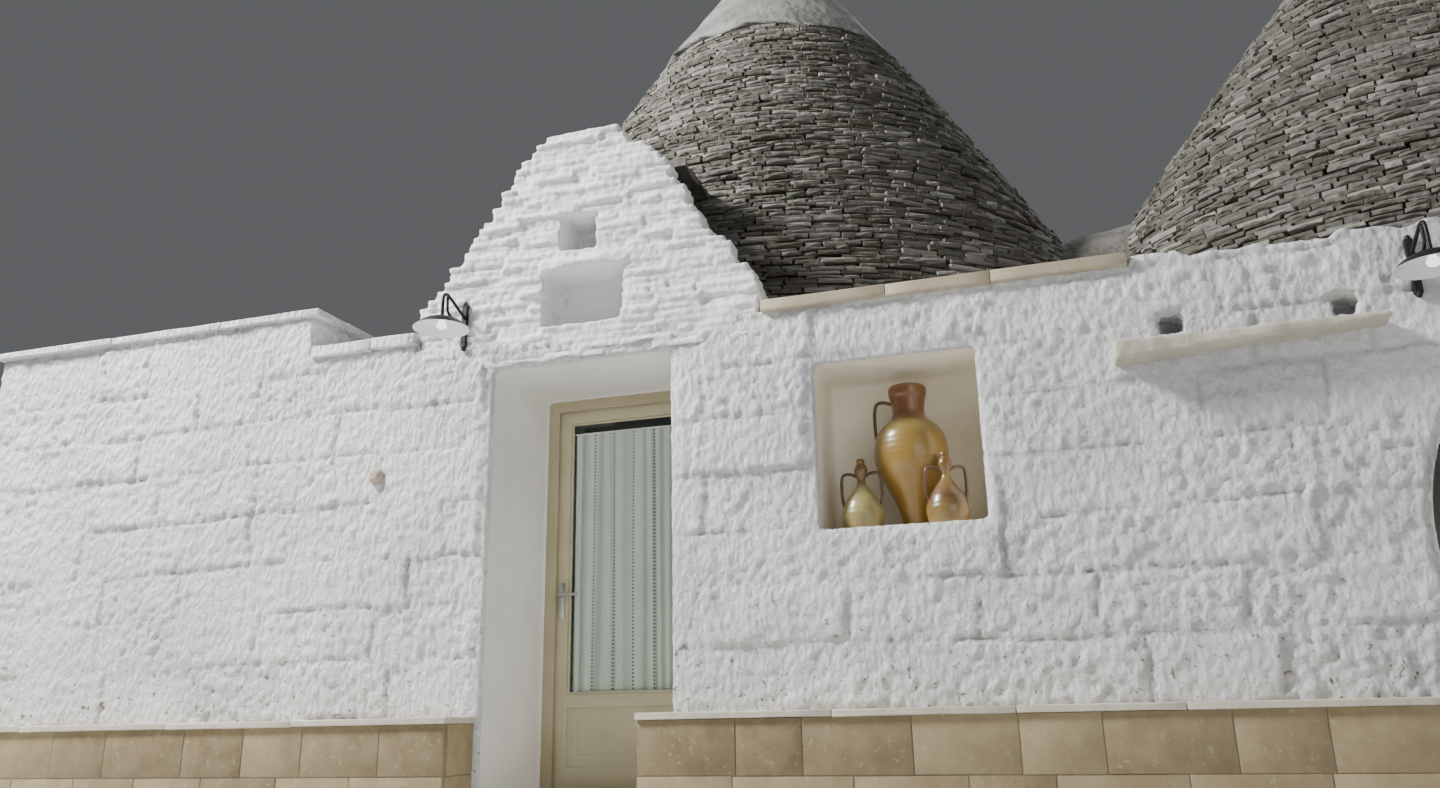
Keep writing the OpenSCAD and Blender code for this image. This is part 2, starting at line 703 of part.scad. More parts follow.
left_lamp_gap = 160;  // distance from the entrance to the left lamp
right_lamp_gap = 110; // distance from the arch's left jamb to the right lamp over it
left_lamp_x = -left_lamp_gap;
right_lamp_x = arch_x0 + right_lamp_gap;
lamp_places = [[left_lamp_x, 0, left_lamp_z], [right_lamp_x, 0, right_lamp_z]];
lamp_plate = [34, 10]; // width and thickness of a backplate
finial_r = 12;
hook_r = 30;           // radius of the hook at the end of the arm
hook_drop = 50;        // height from the backplate's top down to the hook's middle
arm_drop = 75;         // height from the backplate's top down to the sloping rod's foot
brace_drop = 120;      // height from the backplate's top down to the brace
shade_drop = 140;      // height from the backplate's top down to the shade's top
collar_r = 30;
bulb_r = 26;
socket_r = 14;
socket_h = 18;
shade_steps = 8;

// A straight round rod between two points
module rod(from, to, r) {
    way = to - from;
    translate(from) rotate([0, acos(way[2] / norm(way)), atan2(way[1], way[0])])
        cylinder(r = r, h = norm(way));
}

// Iron bracket: a backplate with two finials, a hook over the shade, a sloping rod and a brace
module lamp_bracket() {
    leg_y = -lamp_arm;
    inner_y = leg_y + 2 * hook_r;
    plate_y = -lamp_plate[1] / 2;
    block([-lamp_plate[0] / 2, -lamp_plate[1], -lamp_plate_h], [lamp_plate[0] / 2, 0, 0]);
    for (z = [-lamp_plate_h, 0]) translate([0, -finial_r, z]) sphere(r = finial_r);
    rod([0, plate_y, -brace_drop], [0, leg_y, -brace_drop], rod_r);
    rod([0, leg_y, -shade_drop], [0, leg_y, -hook_drop], rod_r);
    rod([0, inner_y, -brace_drop], [0, inner_y, -hook_drop], rod_r);
    translate([0, leg_y + hook_r, -hook_drop]) rotate([90, 0, 90])
        rotate_extrude(angle = 180) translate([hook_r, 0]) circle(r = rod_r);
    rod([0, plate_y, -arm_drop], [0, leg_y + hook_r, hook_r - hook_drop], rod_r);
}

module lamp_brackets() color("black") on_grid() for (place = lamp_places)
    translate(place) lamp_bracket();

// Shallow round shade, open below
function shade_fall(r) = -shade_h * pow(max(0, (r - collar_r) / (shade_r - collar_r)), 2);
module shade() {
    radii = [for (i = [0 : shade_steps]) collar_r + (shade_r - collar_r) * i / shade_steps];
    rotate_extrude() polygon(concat([[0, 0]], [for (r = radii) [r, shade_fall(r)]],
        [for (i = [shade_steps : -1 : 0]) [radii[i], shade_fall(radii[i]) - shade_t]],
        [[0, -shade_t]]));
}

module lamp_shades() color("white") on_grid() for (place = lamp_places)
    translate(place + [0, -lamp_arm, -shade_drop]) shade();

module lamp_bulbs() color("lightyellow") on_grid() for (place = lamp_places)
    translate(place + [0, -lamp_arm, -shade_drop - shade_t]) {
        translate([0, 0, -socket_h]) cylinder(r = socket_r, h = socket_h);
        translate([0, 0, -socket_h - bulb_r * 0.7]) sphere(r = bulb_r);
    }

// Jars in the lit niche

// A pot turned from shares of its radius and height, from its foot to its rim
module pot(outline, r, h) {
    rotate_extrude() polygon(concat([[0, 0]], [for (share = outline) [share[0] * r, share[1] * h]],
        [[0, h]]));
}

// Handle that leaves a pot's neck level, turns down and runs into its shoulder
module ear(reach, top, low, r) {
    bend = 4 * r;
    translate([bend - reach, 0, top]) rotate([0, 90, 0]) cylinder(r = r, h = reach - bend);
    translate([bend - reach, 0, top - bend]) rotate([90, 0, 180])
        rotate_extrude(angle = 90) translate([bend, 0]) circle(r = r);
    translate([-reach, 0, low]) cylinder(r = r, h = top - bend - low);
}

jar_outline = [[0.31, 0], [0.42, 0.15], [0.56, 0.26], [0.77, 0.38], [0.93, 0.46], [1, 0.55],
    [0.93, 0.64], [0.75, 0.69], [0.5, 0.74], [0.4, 0.79], [0.38, 0.86], [0.42, 0.92],
    [0.47, 0.95], [0.45, 1]];
jug_outline = [[0.78, 0], [0.92, 0.08], [1, 0.2], [0.97, 0.3], [0.84, 0.4], [0.56, 0.5],
    [0.3, 0.6], [0.17, 0.67], [0.17, 0.73], [0.27, 0.8], [0.29, 0.87], [0.2, 0.92],
    [0.15, 0.94], [0.18, 0.96], [0.18, 1]];
jug_before_jar = 132; // the jugs stand this far in front of the tall jar
jar_back_gap = 30;
jar_y = niche_d - jar_r - jar_back_gap;
jar_place = [niche_x0 + 0.535 * niche_w, jar_y, niche_z];
jug_places = [for (share = [0.265, 0.75])
    [niche_x0 + share * niche_w, jar_y - jug_before_jar, niche_z]];
ear_reach = 0.97; // how far the tall jar's handle reaches, as a share of its radius
jug_ear_reach = 0.93;
ear_r = 8;
jug_ear_r = 7;
mouth_r = 44;
mouth_d = 140;

module tall_jar() color("goldenrod") on_grid() translate(jar_place) difference() {
    union() {
        pot(jar_outline, jar_r, jar_h);
        ear(ear_reach * jar_r, 0.9 * jar_h, 0.56 * jar_h, ear_r);
    }
    translate([0, 0, jar_h - mouth_d]) cylinder(r = mouth_r, h = mouth_d + past);
}

module small_jugs() color("goldenrod") on_grid() for (place = jug_places) translate(place) {
    pot(jug_outline, jug_r, jug_h);
    for (turn = [0, 180]) rotate([0, 0, turn])
        ear(jug_ear_reach * jug_r, 0.79 * jug_h, 0.28 * jug_h, jug_ear_r);
}

floors();
doorstep();
wing_front_wall();
entrance_left_wall();
entrance_lintel();
niche_wall();
shelf_wall();
arch_wall();
arch_right_wall();
left_end_wall();
alcove_wall();
main_back_wall();
middle_wall();
second_back_wall();
right_end_wall();
corner_squinches();
wing_roof();
left_parapet();
wing_coping();
left_coping();
gable();
gable_roof();
right_coping();
main_cone_front();
main_cone_back();
second_cone_front();
second_cone_back();
valley_gutter();
cone_caps();
pinnacles();
benches();
bench_tops();
shelf_slab();
wall_boss();
door_frame();
door_stop();
frame_hinges();
leaf_frame();
leaf_panel();
leaf_glass();
leaf_hinges();
door_handle();
curtain_rod();
curtain();
lamp_brackets();
lamp_shades();
lamp_bulbs();
tall_jar();
small_jugs();
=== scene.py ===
# %% [markdown]
# # A trullo house under two dry stone cones
# A trullo is a farm house of whitewashed limestone. Its rooms are square, and a cone of
# dry laid slabs covers each. This lesson dresses a measured model of one: the walls,
# rooms and openings come from the model, and each cell makes what a measured solid
# leaves out, such as single stones, tool marks, limewash, glaze and cloth.

# %% Load the measured house
import json
import math
import random
from contextlib import contextmanager

import bpy
import numpy as np
from mathutils import Matrix, Vector


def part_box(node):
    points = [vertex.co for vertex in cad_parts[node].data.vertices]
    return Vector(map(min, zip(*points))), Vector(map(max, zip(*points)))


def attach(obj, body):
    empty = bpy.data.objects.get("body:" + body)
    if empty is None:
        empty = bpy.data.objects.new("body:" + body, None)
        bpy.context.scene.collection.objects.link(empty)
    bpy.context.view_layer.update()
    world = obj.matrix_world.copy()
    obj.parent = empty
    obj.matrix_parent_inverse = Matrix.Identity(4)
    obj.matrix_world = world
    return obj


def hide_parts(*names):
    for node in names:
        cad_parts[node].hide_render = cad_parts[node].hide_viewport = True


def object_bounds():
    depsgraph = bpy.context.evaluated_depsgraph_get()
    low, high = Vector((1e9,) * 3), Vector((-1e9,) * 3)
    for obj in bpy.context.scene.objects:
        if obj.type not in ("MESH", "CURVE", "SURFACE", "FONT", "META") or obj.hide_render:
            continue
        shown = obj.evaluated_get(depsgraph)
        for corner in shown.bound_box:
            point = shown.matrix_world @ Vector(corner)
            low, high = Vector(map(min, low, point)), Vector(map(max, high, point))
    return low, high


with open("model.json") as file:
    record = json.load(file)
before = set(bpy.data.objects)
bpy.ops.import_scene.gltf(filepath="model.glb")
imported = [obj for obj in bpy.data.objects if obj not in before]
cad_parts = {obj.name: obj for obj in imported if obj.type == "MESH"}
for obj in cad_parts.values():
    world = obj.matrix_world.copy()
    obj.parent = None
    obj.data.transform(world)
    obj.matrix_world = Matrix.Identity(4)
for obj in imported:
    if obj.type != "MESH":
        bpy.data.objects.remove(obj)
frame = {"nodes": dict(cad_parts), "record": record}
model_box = [list(v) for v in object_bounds()]
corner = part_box("doorstep")[0]
print("The measured house reaches from", model_box[0], "to", model_box[1])

# %% [markdown]
# ## A grid to work on
# Masons measure from a corner that they can touch. All places below are in metres from
# the left jamb of the entrance, the face of the front and the ground. A finished piece
# moves to the frame in one step, and then rides on the house or on its door.

# %% Helpers for places and selections
def grid_box(node):
    low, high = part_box(node)
    return low - corner, high - corner


def let_go():
    if bpy.context.mode != "OBJECT":
        bpy.ops.object.mode_set(mode="OBJECT")
    bpy.ops.object.select_all(action="DESELECT")


def take(*pieces):
    let_go()
    for piece in pieces:
        piece.select_set(True)
    bpy.context.view_layer.objects.active = pieces[0]
    return pieces[0]


def settle(piece, slot, *nodes, body="house", shift=True):
    take(piece)
    if shift:
        piece.location = corner
    bpy.ops.object.transform_apply(location=True, rotation=True, scale=True)
    if nodes:
        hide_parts(*nodes)
    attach(piece, body)
    piece.data.calc_loop_triangles()
    print(piece.name, "has", len(piece.data.loop_triangles), "triangles")
    return piece


left = grid_box("wing_front_wall")[0].x
right = grid_box("right_end_wall")[1].x
back = grid_box("main_back_wall")[1].y
ledge = grid_box("niche_wall")[1].z
print("The front is", round(right - left, 2), "m long and its walls", round(ledge, 3), "m high")

# %% [markdown]
# ## Shaping tools
# Every stone starts as a block between two corners. Edit mode, modifiers and selections
# by place or direction then turn it into the real thing.

# %% Helpers that shape a piece
def block(name, low, high):
    let_go()
    low, high = Vector(low), Vector(high)
    bpy.ops.mesh.primitive_cube_add(size=1, location=(low + high) / 2)
    piece = bpy.context.object
    piece.name = name
    piece.scale = high - low
    bpy.ops.object.transform_apply(location=True, rotation=True, scale=True)
    return piece


def apply(piece, kind, **settings):
    modifier = piece.modifiers.new(kind.lower(), kind)
    for name, value in settings.items():
        setattr(modifier, name, value)
    take(piece)
    bpy.ops.object.modifier_apply(modifier=modifier.name)
    return piece


def cut(piece, tool):
    apply(piece, "BOOLEAN", operation="DIFFERENCE", solver="EXACT", object=tool)
    bpy.data.objects.remove(tool)


def unite(name, *pieces):
    whole = take(*pieces)
    if len(pieces) > 1:
        bpy.ops.object.join()
    whole.name = name
    return whole


@contextmanager
def editing(select_all=True):
    bpy.ops.object.mode_set(mode="EDIT")
    if select_all:
        bpy.ops.mesh.select_all(action="SELECT")
    yield
    bpy.ops.object.mode_set(mode="OBJECT")


def values(elements, name, width):
    read = np.empty(len(elements) * width, np.float32)
    elements.foreach_get(name, read)
    return read.reshape(-1, width)


def spots_of(piece):
    return values(piece.data.vertices, "co", 3)


def move_to(piece, spots):
    piece.data.vertices.foreach_set("co", spots.ravel())


def mark(piece, name, amounts):
    marks = piece.data.attributes.get(name) or piece.data.attributes.new(name, "FLOAT", "POINT")
    marks.data.foreach_set("value", amounts.astype(np.float32))


def coat_with(piece, *materials, smooth=False):
    for material in materials:
        piece.data.materials.append(material)
    if smooth:
        piece.data.shade_smooth()
    return piece


def push(piece, strength, size, group="", middle=0.5, **settings):
    texture = bpy.data.textures.new("hand of the maker", "CLOUDS")
    texture.noise_scale = size
    for name, value in settings.items():
        setattr(texture, name, value)
    return apply(piece, "DISPLACE", texture=texture, strength=strength, mid_level=middle,
                 vertex_group=group)


def round_edges(piece, width, limit, segments=2, smooth=0):
    apply(piece, "BEVEL", width=width, segments=segments, limit_method="ANGLE", angle_limit=limit)
    if smooth:
        bpy.ops.object.shade_smooth_by_angle(angle=smooth)
    return piece


def choose_faces(piece, wanted):
    mesh = piece.data
    take(piece)
    chosen = wanted(values(mesh.polygons, "center", 3), values(mesh.polygons, "normal", 3))
    for elements in (mesh.vertices, mesh.edges):
        elements.foreach_set("select", np.zeros(len(elements), bool))
    mesh.polygons.foreach_set("select", chosen)
    bpy.context.tool_settings.mesh_select_mode = (False, False, True)
    return chosen


def drop_faces(piece, wanted):
    choose_faces(piece, wanted)
    with editing(select_all=False):
        bpy.ops.mesh.delete(type="FACE")


def second_finish(piece, wanted):
    chosen = choose_faces(piece, wanted)
    piece.data.polygons.foreach_set("material_index", chosen.astype(np.int32))


def slice_off(piece, place, direction, fill=False):
    take(piece)
    with editing():
        bpy.ops.mesh.bisect(plane_co=place, plane_no=direction, clear_outer=True, use_fill=fill)


# %% [markdown]
# ## Shared effects for the finishes
# Limewash, stone, glaze and paint all have soft blotches and a fine tooth, only at other
# sizes. Two node groups hold these effects, and each material sets its own values.

# %% Helpers that build nodes
def node(tree, kind, inputs=None, **settings):
    made = tree.nodes.new("ShaderNode" + kind)
    for name, value in settings.items():
        setattr(made, name, value)
    for socket, value in (inputs or {}).items():
        if isinstance(value, bpy.types.NodeSocket):
            tree.links.new(value, made.inputs[socket])
        else:
            made.inputs[socket].default_value = value
    return made


def math_node(tree, operation, a, b=0.0, clamp=True):
    return node(tree, "Math", {0: a, 1: b}, operation=operation, use_clamp=clamp).outputs[0]


def spread_node(tree, value, start, stop, first=0.0, last=1.0):
    given = {"Value": value, "From Min": start, "From Max": stop, "To Min": first, "To Max": last}
    return node(tree, "MapRange", given).outputs[0]


def times(tree, a, b, clamp=True):
    return math_node(tree, "MULTIPLY", a, b, clamp)


def own_place(tree):
    return node(tree, "TexCoord").outputs["Object"]


def own_mark(tree, name):
    return node(tree, "Attribute", attribute_name=name).outputs["Fac"]


def blend_colour(tree, factor, first, second):
    made = node(tree, "Mix", data_type="RGBA", clamp_factor=True)
    for socket, value in ((0, factor), (6, first), (7, second)):
        if isinstance(value, bpy.types.NodeSocket):
            tree.links.new(value, made.inputs[socket])
        else:
            made.inputs[socket].default_value = value if socket == 0 else (*value, 1)
    return made.outputs[2]


def ramp_node(tree, factor, stops):
    made = node(tree, "ValToRGB", {0: factor})
    elements = made.color_ramp.elements
    for k, (position, colour) in enumerate(stops):
        stop = elements[k] if k < 2 else elements.new(position)
        stop.position, stop.color = position, (*colour, 1)
    return made.outputs[0]


def bump_on(tree, look, height, strength, distance):
    bump = node(tree, "Bump", {"Strength": strength, "Distance": distance, "Height": height})
    tree.links.new(bump.outputs[0], look["Normal"])


def new_material(name, **amounts):
    material = bpy.data.materials.new(name)
    material.use_nodes = True
    shader = material.node_tree.nodes["Principled BSDF"]
    for socket, amount in amounts.items():
        shader.inputs[socket.replace("_", " ")].default_value = amount
    return material, material.node_tree, shader.inputs


def new_group(name, inputs, outputs):
    group = bpy.data.node_groups.new(name, "ShaderNodeTree")
    for side, sockets in (("INPUT", inputs), ("OUTPUT", outputs)):
        for title, kind in sockets:
            group.interface.new_socket(title, in_out=side, socket_type="NodeSocket" + kind)
    return group, group.nodes.new("NodeGroupInput").outputs, group.nodes.new("NodeGroupOutput").inputs


# %% Soft blotches
blotches, given, put = new_group(
    "soft blotches",
    [("Place", "Vector"), ("Scale", "Float"), ("From", "Float"), ("To", "Float")],
    [("Mask", "Float")],
)
cloud = node(blotches, "TexNoise", {"Vector": given["Place"], "Scale": given["Scale"],
                                    "Detail": 5.0, "Roughness": 0.62})
blotches.links.new(spread_node(blotches, cloud.outputs[0], given["From"], given["To"]), put["Mask"])


def blotch_mask(tree, place, scale, start, stop):
    given = {"Place": place, "Scale": scale, "From": start, "To": stop}
    return node(tree, "Group", given, node_tree=blotches).outputs["Mask"]


# %% Tool marks: short strokes that lean, over a fine tooth
tool_marks, given, put = new_group(
    "tool marks",
    [("Place", "Vector"), ("Scale", "Float"), ("Tooth", "Float")],
    [("Height", "Float")],
)
lean = node(tool_marks, "Mapping", {"Vector": given["Place"], "Rotation": (0.3, 0.5, 0.2),
                                    "Scale": (1.0, 1.0, 0.55)})
bend = node(tool_marks, "TexNoise", {"Vector": lean.outputs[0], "Scale": 9.0, "Detail": 2.0})
bent = node(tool_marks, "VectorMath", {0: lean.outputs[0]}, operation="ADD")
shrink = node(tool_marks, "VectorMath", {0: bend.outputs["Color"], 1: (0.05, 0.05, 0.05)},
              operation="MULTIPLY")
tool_marks.links.new(shrink.outputs[0], bent.inputs[1])
strokes = node(tool_marks, "TexVoronoi", {"Vector": bent.outputs[0], "Scale": given["Scale"],
                                          "Smoothness": 0.3}, feature="SMOOTH_F1")
tooth = node(tool_marks, "TexNoise", {"Vector": given["Place"], "Scale": 70.0, "Detail": 6.0,
                                      "Roughness": 0.7})
fine = times(tool_marks, tooth.outputs[0], given["Tooth"], clamp=False)
both = math_node(tool_marks, "ADD", strokes.outputs[0], fine, clamp=False)
tool_marks.links.new(both, put["Height"])
print("Shared effects:", blotches.name, "and", tool_marks.name)


# %% [markdown]
# ## Finishes of stone and lime
# Old limewash is never one white: it greys in its hollows, keeps dirt in the joints and
# is splashed near the ground. Bare stones each get their own tone from an attribute.

# %% A finish of blotches and tool marks
def finish(name, colours, roughness, blotch=2.0, marks=22.0, tooth=0.3, depth=0.006,
           own_tone=False, hues=None, recess=None, splash=None, **gloss):
    material, tree, look = new_material(name, Roughness=roughness, **gloss)
    place = own_place(tree)
    cloudy = mask = blotch_mask(tree, place, blotch, 0.35, 0.68)
    if own_tone:
        tone = own_mark(tree, "tone")
        mask = math_node(tree, "ADD", times(tree, mask, 0.4), times(tree, tone, 0.75))
    colour = blend_colour(tree, mask, colours[0], colours[1])
    if hues:
        own = ramp_node(tree, tone, hues)
        colour = blend_colour(tree, times(tree, cloudy, 0.45), own, colours[0])
    if len(colours) > 2:
        spots = blotch_mask(tree, place, blotch * 5, 0.58, 0.72)
        colour = blend_colour(tree, times(tree, spots, 0.6), colour, colours[2])
    if recess:
        dirt = times(tree, own_mark(tree, "recess"), 0.7)
        colour = blend_colour(tree, dirt, colour, recess)
    if splash:
        up = node(tree, "SeparateXYZ", {0: place}).outputs["Z"]
        low = spread_node(tree, up, 0.5, 1.5, 1.0, 0.0)
        specks = blotch_mask(tree, place, 26.0, 0.61, 0.65)
        colour = blend_colour(tree, times(tree, specks, low), colour, splash)
    tree.links.new(colour, look["Base Color"])
    given = {"Place": place, "Scale": marks, "Tooth": tooth}
    cuts = node(tree, "Group", given, node_tree=tool_marks).outputs[0]
    worn = spread_node(tree, mask, 0.0, 1.0, 1.0, 0.55)
    bump_on(tree, look, times(tree, cuts, worn, clamp=False), 1.0, depth)
    return material


limewash = finish("rough_limewash", [(0.78, 0.79, 0.80), (0.88, 0.88, 0.87)], 0.85, blotch=1.4,
                  marks=34.0, tooth=0.8, depth=0.026, recess=(0.46, 0.45, 0.42),
                  splash=(0.20, 0.16, 0.13))
plaster = finish("smooth_plaster", [(0.80, 0.78, 0.73), (0.88, 0.87, 0.84)], 0.75, blotch=1.8,
                 marks=7.0, tooth=0.25, depth=0.003)
slab_lime = finish("slab_limewash", [(0.78, 0.79, 0.80), (0.88, 0.88, 0.87)], 0.85, blotch=1.4,
                   marks=26.0, tooth=0.8, depth=0.009)
# painted light: the niche's lime is a brighter, warmer white that stands for the glow lighting it from
# inside
lamplit_niche_lime = finish("painted_lamplight_niche_lime", [(0.88, 0.80, 0.64), (0.95, 0.91, 0.80)], 0.8, blotch=3.0,
                    marks=12.0)
# painted shade: the white lime cap is coloured a dull grey, as dim as the unlit tip of a cone
shade_grey_cap = finish("shade_darkened_cap", [(0.15, 0.15, 0.138), (0.31, 0.31, 0.29), (0.09, 0.086, 0.075)],
                   0.9, blotch=2.2, marks=16.0, tooth=0.5, depth=0.012)
stone_hues = [(0, (0.070, 0.062, 0.050)), (1 / 6, (0.108, 0.096, 0.073)),
              (1 / 3, (0.118, 0.118, 0.092)), (1 / 2, (0.142, 0.130, 0.120)),
              (1, (0.33, 0.32, 0.28))]
roof_grey = finish("roof_slabs", [(0.060, 0.055, 0.042), (0.33, 0.30, 0.25), (0.30, 0.30, 0.24)],
                   0.92, blotch=2.6, marks=26.0, tooth=0.5, depth=0.010, own_tone=True,
                   hues=stone_hues)
# painted shade: the cones' cores are near black outside, so the gaps between the slabs read as deep
# shade
core_dark = finish("near_black_core_shade", [(0.035, 0.032, 0.028), (0.08, 0.072, 0.062)], 0.95)
beige = finish("honed_beige", [(0.38, 0.32, 0.22), (0.50, 0.43, 0.315), (0.29, 0.24, 0.165)],
               0.55, blotch=3.5, marks=14.0, depth=0.0018)
pale_top = finish("limed_bench_top", [(0.50, 0.45, 0.35), (0.66, 0.61, 0.50), (0.38, 0.33, 0.24)],
                  0.6, blotch=4.0, marks=14.0, depth=0.002)
cream_lime = finish("cream_lime", [(0.46, 0.42, 0.335), (0.60, 0.56, 0.46), (0.34, 0.305, 0.24)], 0.8,
                    blotch=3.2, marks=14.0, tooth=0.4, depth=0.005)
tiles = finish("tan_tiles", [(0.17, 0.126, 0.062), (0.38, 0.30, 0.168), (0.45, 0.38, 0.245)], 0.6,
               blotch=8.0, marks=20.0, tooth=0.4, depth=0.0016, own_tone=True)
grout = finish("sandy_joints", [(0.20, 0.165, 0.11), (0.29, 0.24, 0.165)], 0.9, depth=0.002)
flags = finish("worn_flags", [(0.42, 0.38, 0.31), (0.64, 0.59, 0.50)], 0.5, blotch=4.0, marks=12.0,
               depth=0.0015, own_tone=True)
print("Stone finishes:", len(bpy.data.materials))

# %% [markdown]
# ## The place to look from
# The photograph was taken low and close, right of the entrance, looking up and a little
# to the left. The lens and angles come from a camera fitted to the door, niche and
# bench. The pale floor and soft lamps belong to the studio, not to the house.

# %% Camera
turn, up, roll = math.radians(17.031), math.radians(16.649), math.radians(-1.144)
ahead = Vector((-math.sin(turn) * math.cos(up), math.cos(turn) * math.cos(up), math.sin(up)))
level = Vector((math.cos(turn), math.sin(turn), 0))
upright = level.cross(ahead)
side = level * math.cos(roll) + upright * math.sin(roll)
top = upright * math.cos(roll) - level * math.sin(roll)
let_go()
bpy.ops.object.camera_add(location=corner + Vector((2.7896, -4.9439, 0.4778)))
camera = bpy.context.object
camera.rotation_euler = Matrix((side, top, -ahead)).transposed().to_euler()
camera.data.sensor_width = 36
camera.data.lens = 26.98
bpy.context.scene.camera = camera
print("The camera stands", round(camera.location.z, 2), "m above the ground")

# %% Studio
let_go()
bpy.ops.mesh.primitive_plane_add(size=90, location=(0, 0, -0.001))
studio_floor = bpy.context.object
studio_floor.name = "studio_floor"
coat_with(studio_floor, finish("pale_floor", [(0.60, 0.60, 0.59), (0.66, 0.66, 0.65)], 0.7,
                               blotch=0.4, marks=3.0, depth=0.001))


def soft_lamp(name, place, aim, size, watts):
    bpy.ops.object.light_add(type="AREA", location=place)
    lamp = bpy.context.object
    lamp.name = name
    lamp.data.shape = "DISK"
    lamp.data.size = size
    lamp.data.energy = watts
    lamp.rotation_euler = (Vector(aim) - Vector(place)).to_track_quat("-Z", "Y").to_euler()


soft_lamp("key_lamp", (-7.6, -5.6, 8.2), (0.5, -2.8, 1.8), 2.2, 2500)
soft_lamp("fill_lamp", (6, -12, 2.5), (0.5, -2.8, 1.5), 7, 240)
soft_lamp("back_lamp", (5, 9, 11), (0, 0, 3), 6, 1300)
world = bpy.data.worlds.new("studio")
world.use_nodes = True
world.node_tree.nodes["Background"].inputs["Color"].default_value = (0.62, 0.64, 0.67, 1)
world.node_tree.nodes["Background"].inputs["Strength"].default_value = 0.19
bpy.context.scene.world = world

# %% [markdown]
# ## The whitewashed walls
# The front is built of squared blocks whose joints have nearly drowned in coat after
# coat of lime. A block with the openings cut out is remeshed to small even faces, its
# arrises are rounded, and then the faces of the blocks are pushed out and roughened.
# That gives real relief, which a bump alone can't show against the light.

# %% The outside of the house as one block
skin = 0.016
reveal_skin = 0.008
niche_skin = 0.004
door_w, door_top = 1.03, 2.30
niche_low = Vector((1.749, 0.0, 1.302))
niche_high = Vector((2.532, 0.45, 2.127))
arch_low, arch_high = grid_box("arch_wall")
arch_spring = 1.1
holes = [3.33, 4.03]
hole_z = 2.060
parapet_t = 0.18
low_parapet = ledge + 0.071
return_x = -1.15
roof_right = -1.72
main_cone = {"axis": (0.92, 3.10), "r": 2.858, "h": 4.797, "bulge": 0.110, "cap": 0.67 * 4.797}
second_cone = {"axis": (5.25, 2.90), "r": 2.658, "h": 3.575, "bulge": 0.060, "cap": 0.81 * 3.575}


def opening_tools():
    tools = [
        block("tool", (reveal_skin, -1, -1), (door_w - reveal_skin, 0.66, door_top - reveal_skin)),
        block("tool", (niche_low.x + niche_skin, -1, niche_low.z + niche_skin),
              (niche_high.x - niche_skin, niche_high.y - reveal_skin, niche_high.z - niche_skin)),
        block("tool", (arch_low.x - 0.03, -1, -1), (arch_high.x + 0.03, 0.02, arch_spring)),
        block("tool", (arch_low.x + reveal_skin, -1, -1), (arch_high.x - reveal_skin, 2, arch_spring)),
    ]
    tools += [block("tool", (x + 0.004, -1, hole_z + 0.004), (x + 0.116, 0.145, hole_z + 0.116))
              for x in holes]
    middle = (arch_low.x + arch_high.x) / 2
    for radius, depth, y in ((1.0 - reveal_skin, 3.2, 0.5), (1.03, 1.02, -0.49)):
        bpy.ops.mesh.primitive_cylinder_add(vertices=72, radius=radius, depth=depth,
                                            location=(middle, y, arch_spring),
                                            rotation=(math.pi / 2, 0, 0))
        tools.append(bpy.context.object)
    return tools


def wall_block(name, y0, y1):
    walls = block(name, (left - skin, y0, -0.1), (right + skin, y1, ledge + 0.004))
    if y0 < 0:
        for tool in opening_tools():
            cut(walls, tool)
    end, height = grid_box("left_parapet")[1].xz
    step, wide = return_x - 0.02, parapet_t + skin
    runs = [(left - skin, y0, left + wide, y1, height)]
    if y0 < 0:
        runs += [(left - skin, y0, step, wide, height),
                 (step - 0.1, y0, end - 0.02, wide, low_parapet),
                 (step - wide, y0, step, y1, height)]
    else:
        runs += [(step - wide, y0, step, 1.62, height),
                 (left - skin, back - wide, roof_right + 0.02, y1, height)]
    runs = [block("run", (x0, near, ledge - 0.1), (x1, far, z)) for x0, near, x1, far, z in runs]
    return unite(name, walls, *runs)


front = wall_block("front", -skin, 1.25)
print("The front block has", len(front.data.polygons), "faces")

# %% [markdown]
# Joints follow a mason's rule: courses of one height, blocks of many lengths, and each
# course starts at another place. The distance from a point to the nearest joint drives
# both the relief and the dirt.

# %% Courses of squared blocks
def squared_blocks(along, up):
    rng = np.random.default_rng(5)
    swing = along + 0.014 * np.sin(5.1 * up + 2.0 * np.sin(1.7 * along)) + 0.006 * np.sin(17 * up)
    lift = up + 0.012 * np.sin(2.3 * along + 1.1) + 0.006 * np.sin(9.7 * along)
    beds = np.cumsum(rng.uniform(0.25, 0.34, 14)) - 0.16
    course = np.searchsorted(beds, lift)
    gap = np.full(along.shape, 1.0)
    number = np.zeros(along.shape, int)
    for k in range(1, 14):
        here = course == k
        ends = -9 + np.cumsum(rng.uniform(0.34, 0.82, 60))
        nearest = np.searchsorted(ends, swing[here])
        gap[here] = np.minimum.reduce([swing[here] - ends[nearest - 1], ends[nearest] - swing[here],
                                       lift[here] - beds[k - 1], beds[k] - lift[here]])
        number[here] = k * 61 + nearest
    return gap, number, rng


def calm_arris(place):
    x, y, z = place.T
    calm = np.ones(len(x))
    niche = (niche_low.x, niche_high.x, niche_low.z, niche_high.z)
    for x0, x1, z0, z1 in ((0, door_w, -1, door_top), niche):
        outside = np.maximum.reduce([x0 - x, x - x1, z0 - z, z - z1])
        calm = np.minimum(calm, np.clip(outside / 0.055, 0.2, 1))
    return calm


def in_openings(place):
    x, y, z = place.T
    found = np.zeros(len(x), bool)
    for x0, x1, z0, z1 in ((0, door_w, -1, door_top), (arch_low.x, arch_high.x, -1, arch_spring + 1.006),
                           (niche_low.x, niche_high.x, niche_low.z, niche_high.z)):
        found |= (x > x0 - 0.004) & (x < x1 + 0.004) & (z > z0 - 0.004) & (z < z1 + 0.004)
    return found & (y > 0.012) & (y < 1.3)


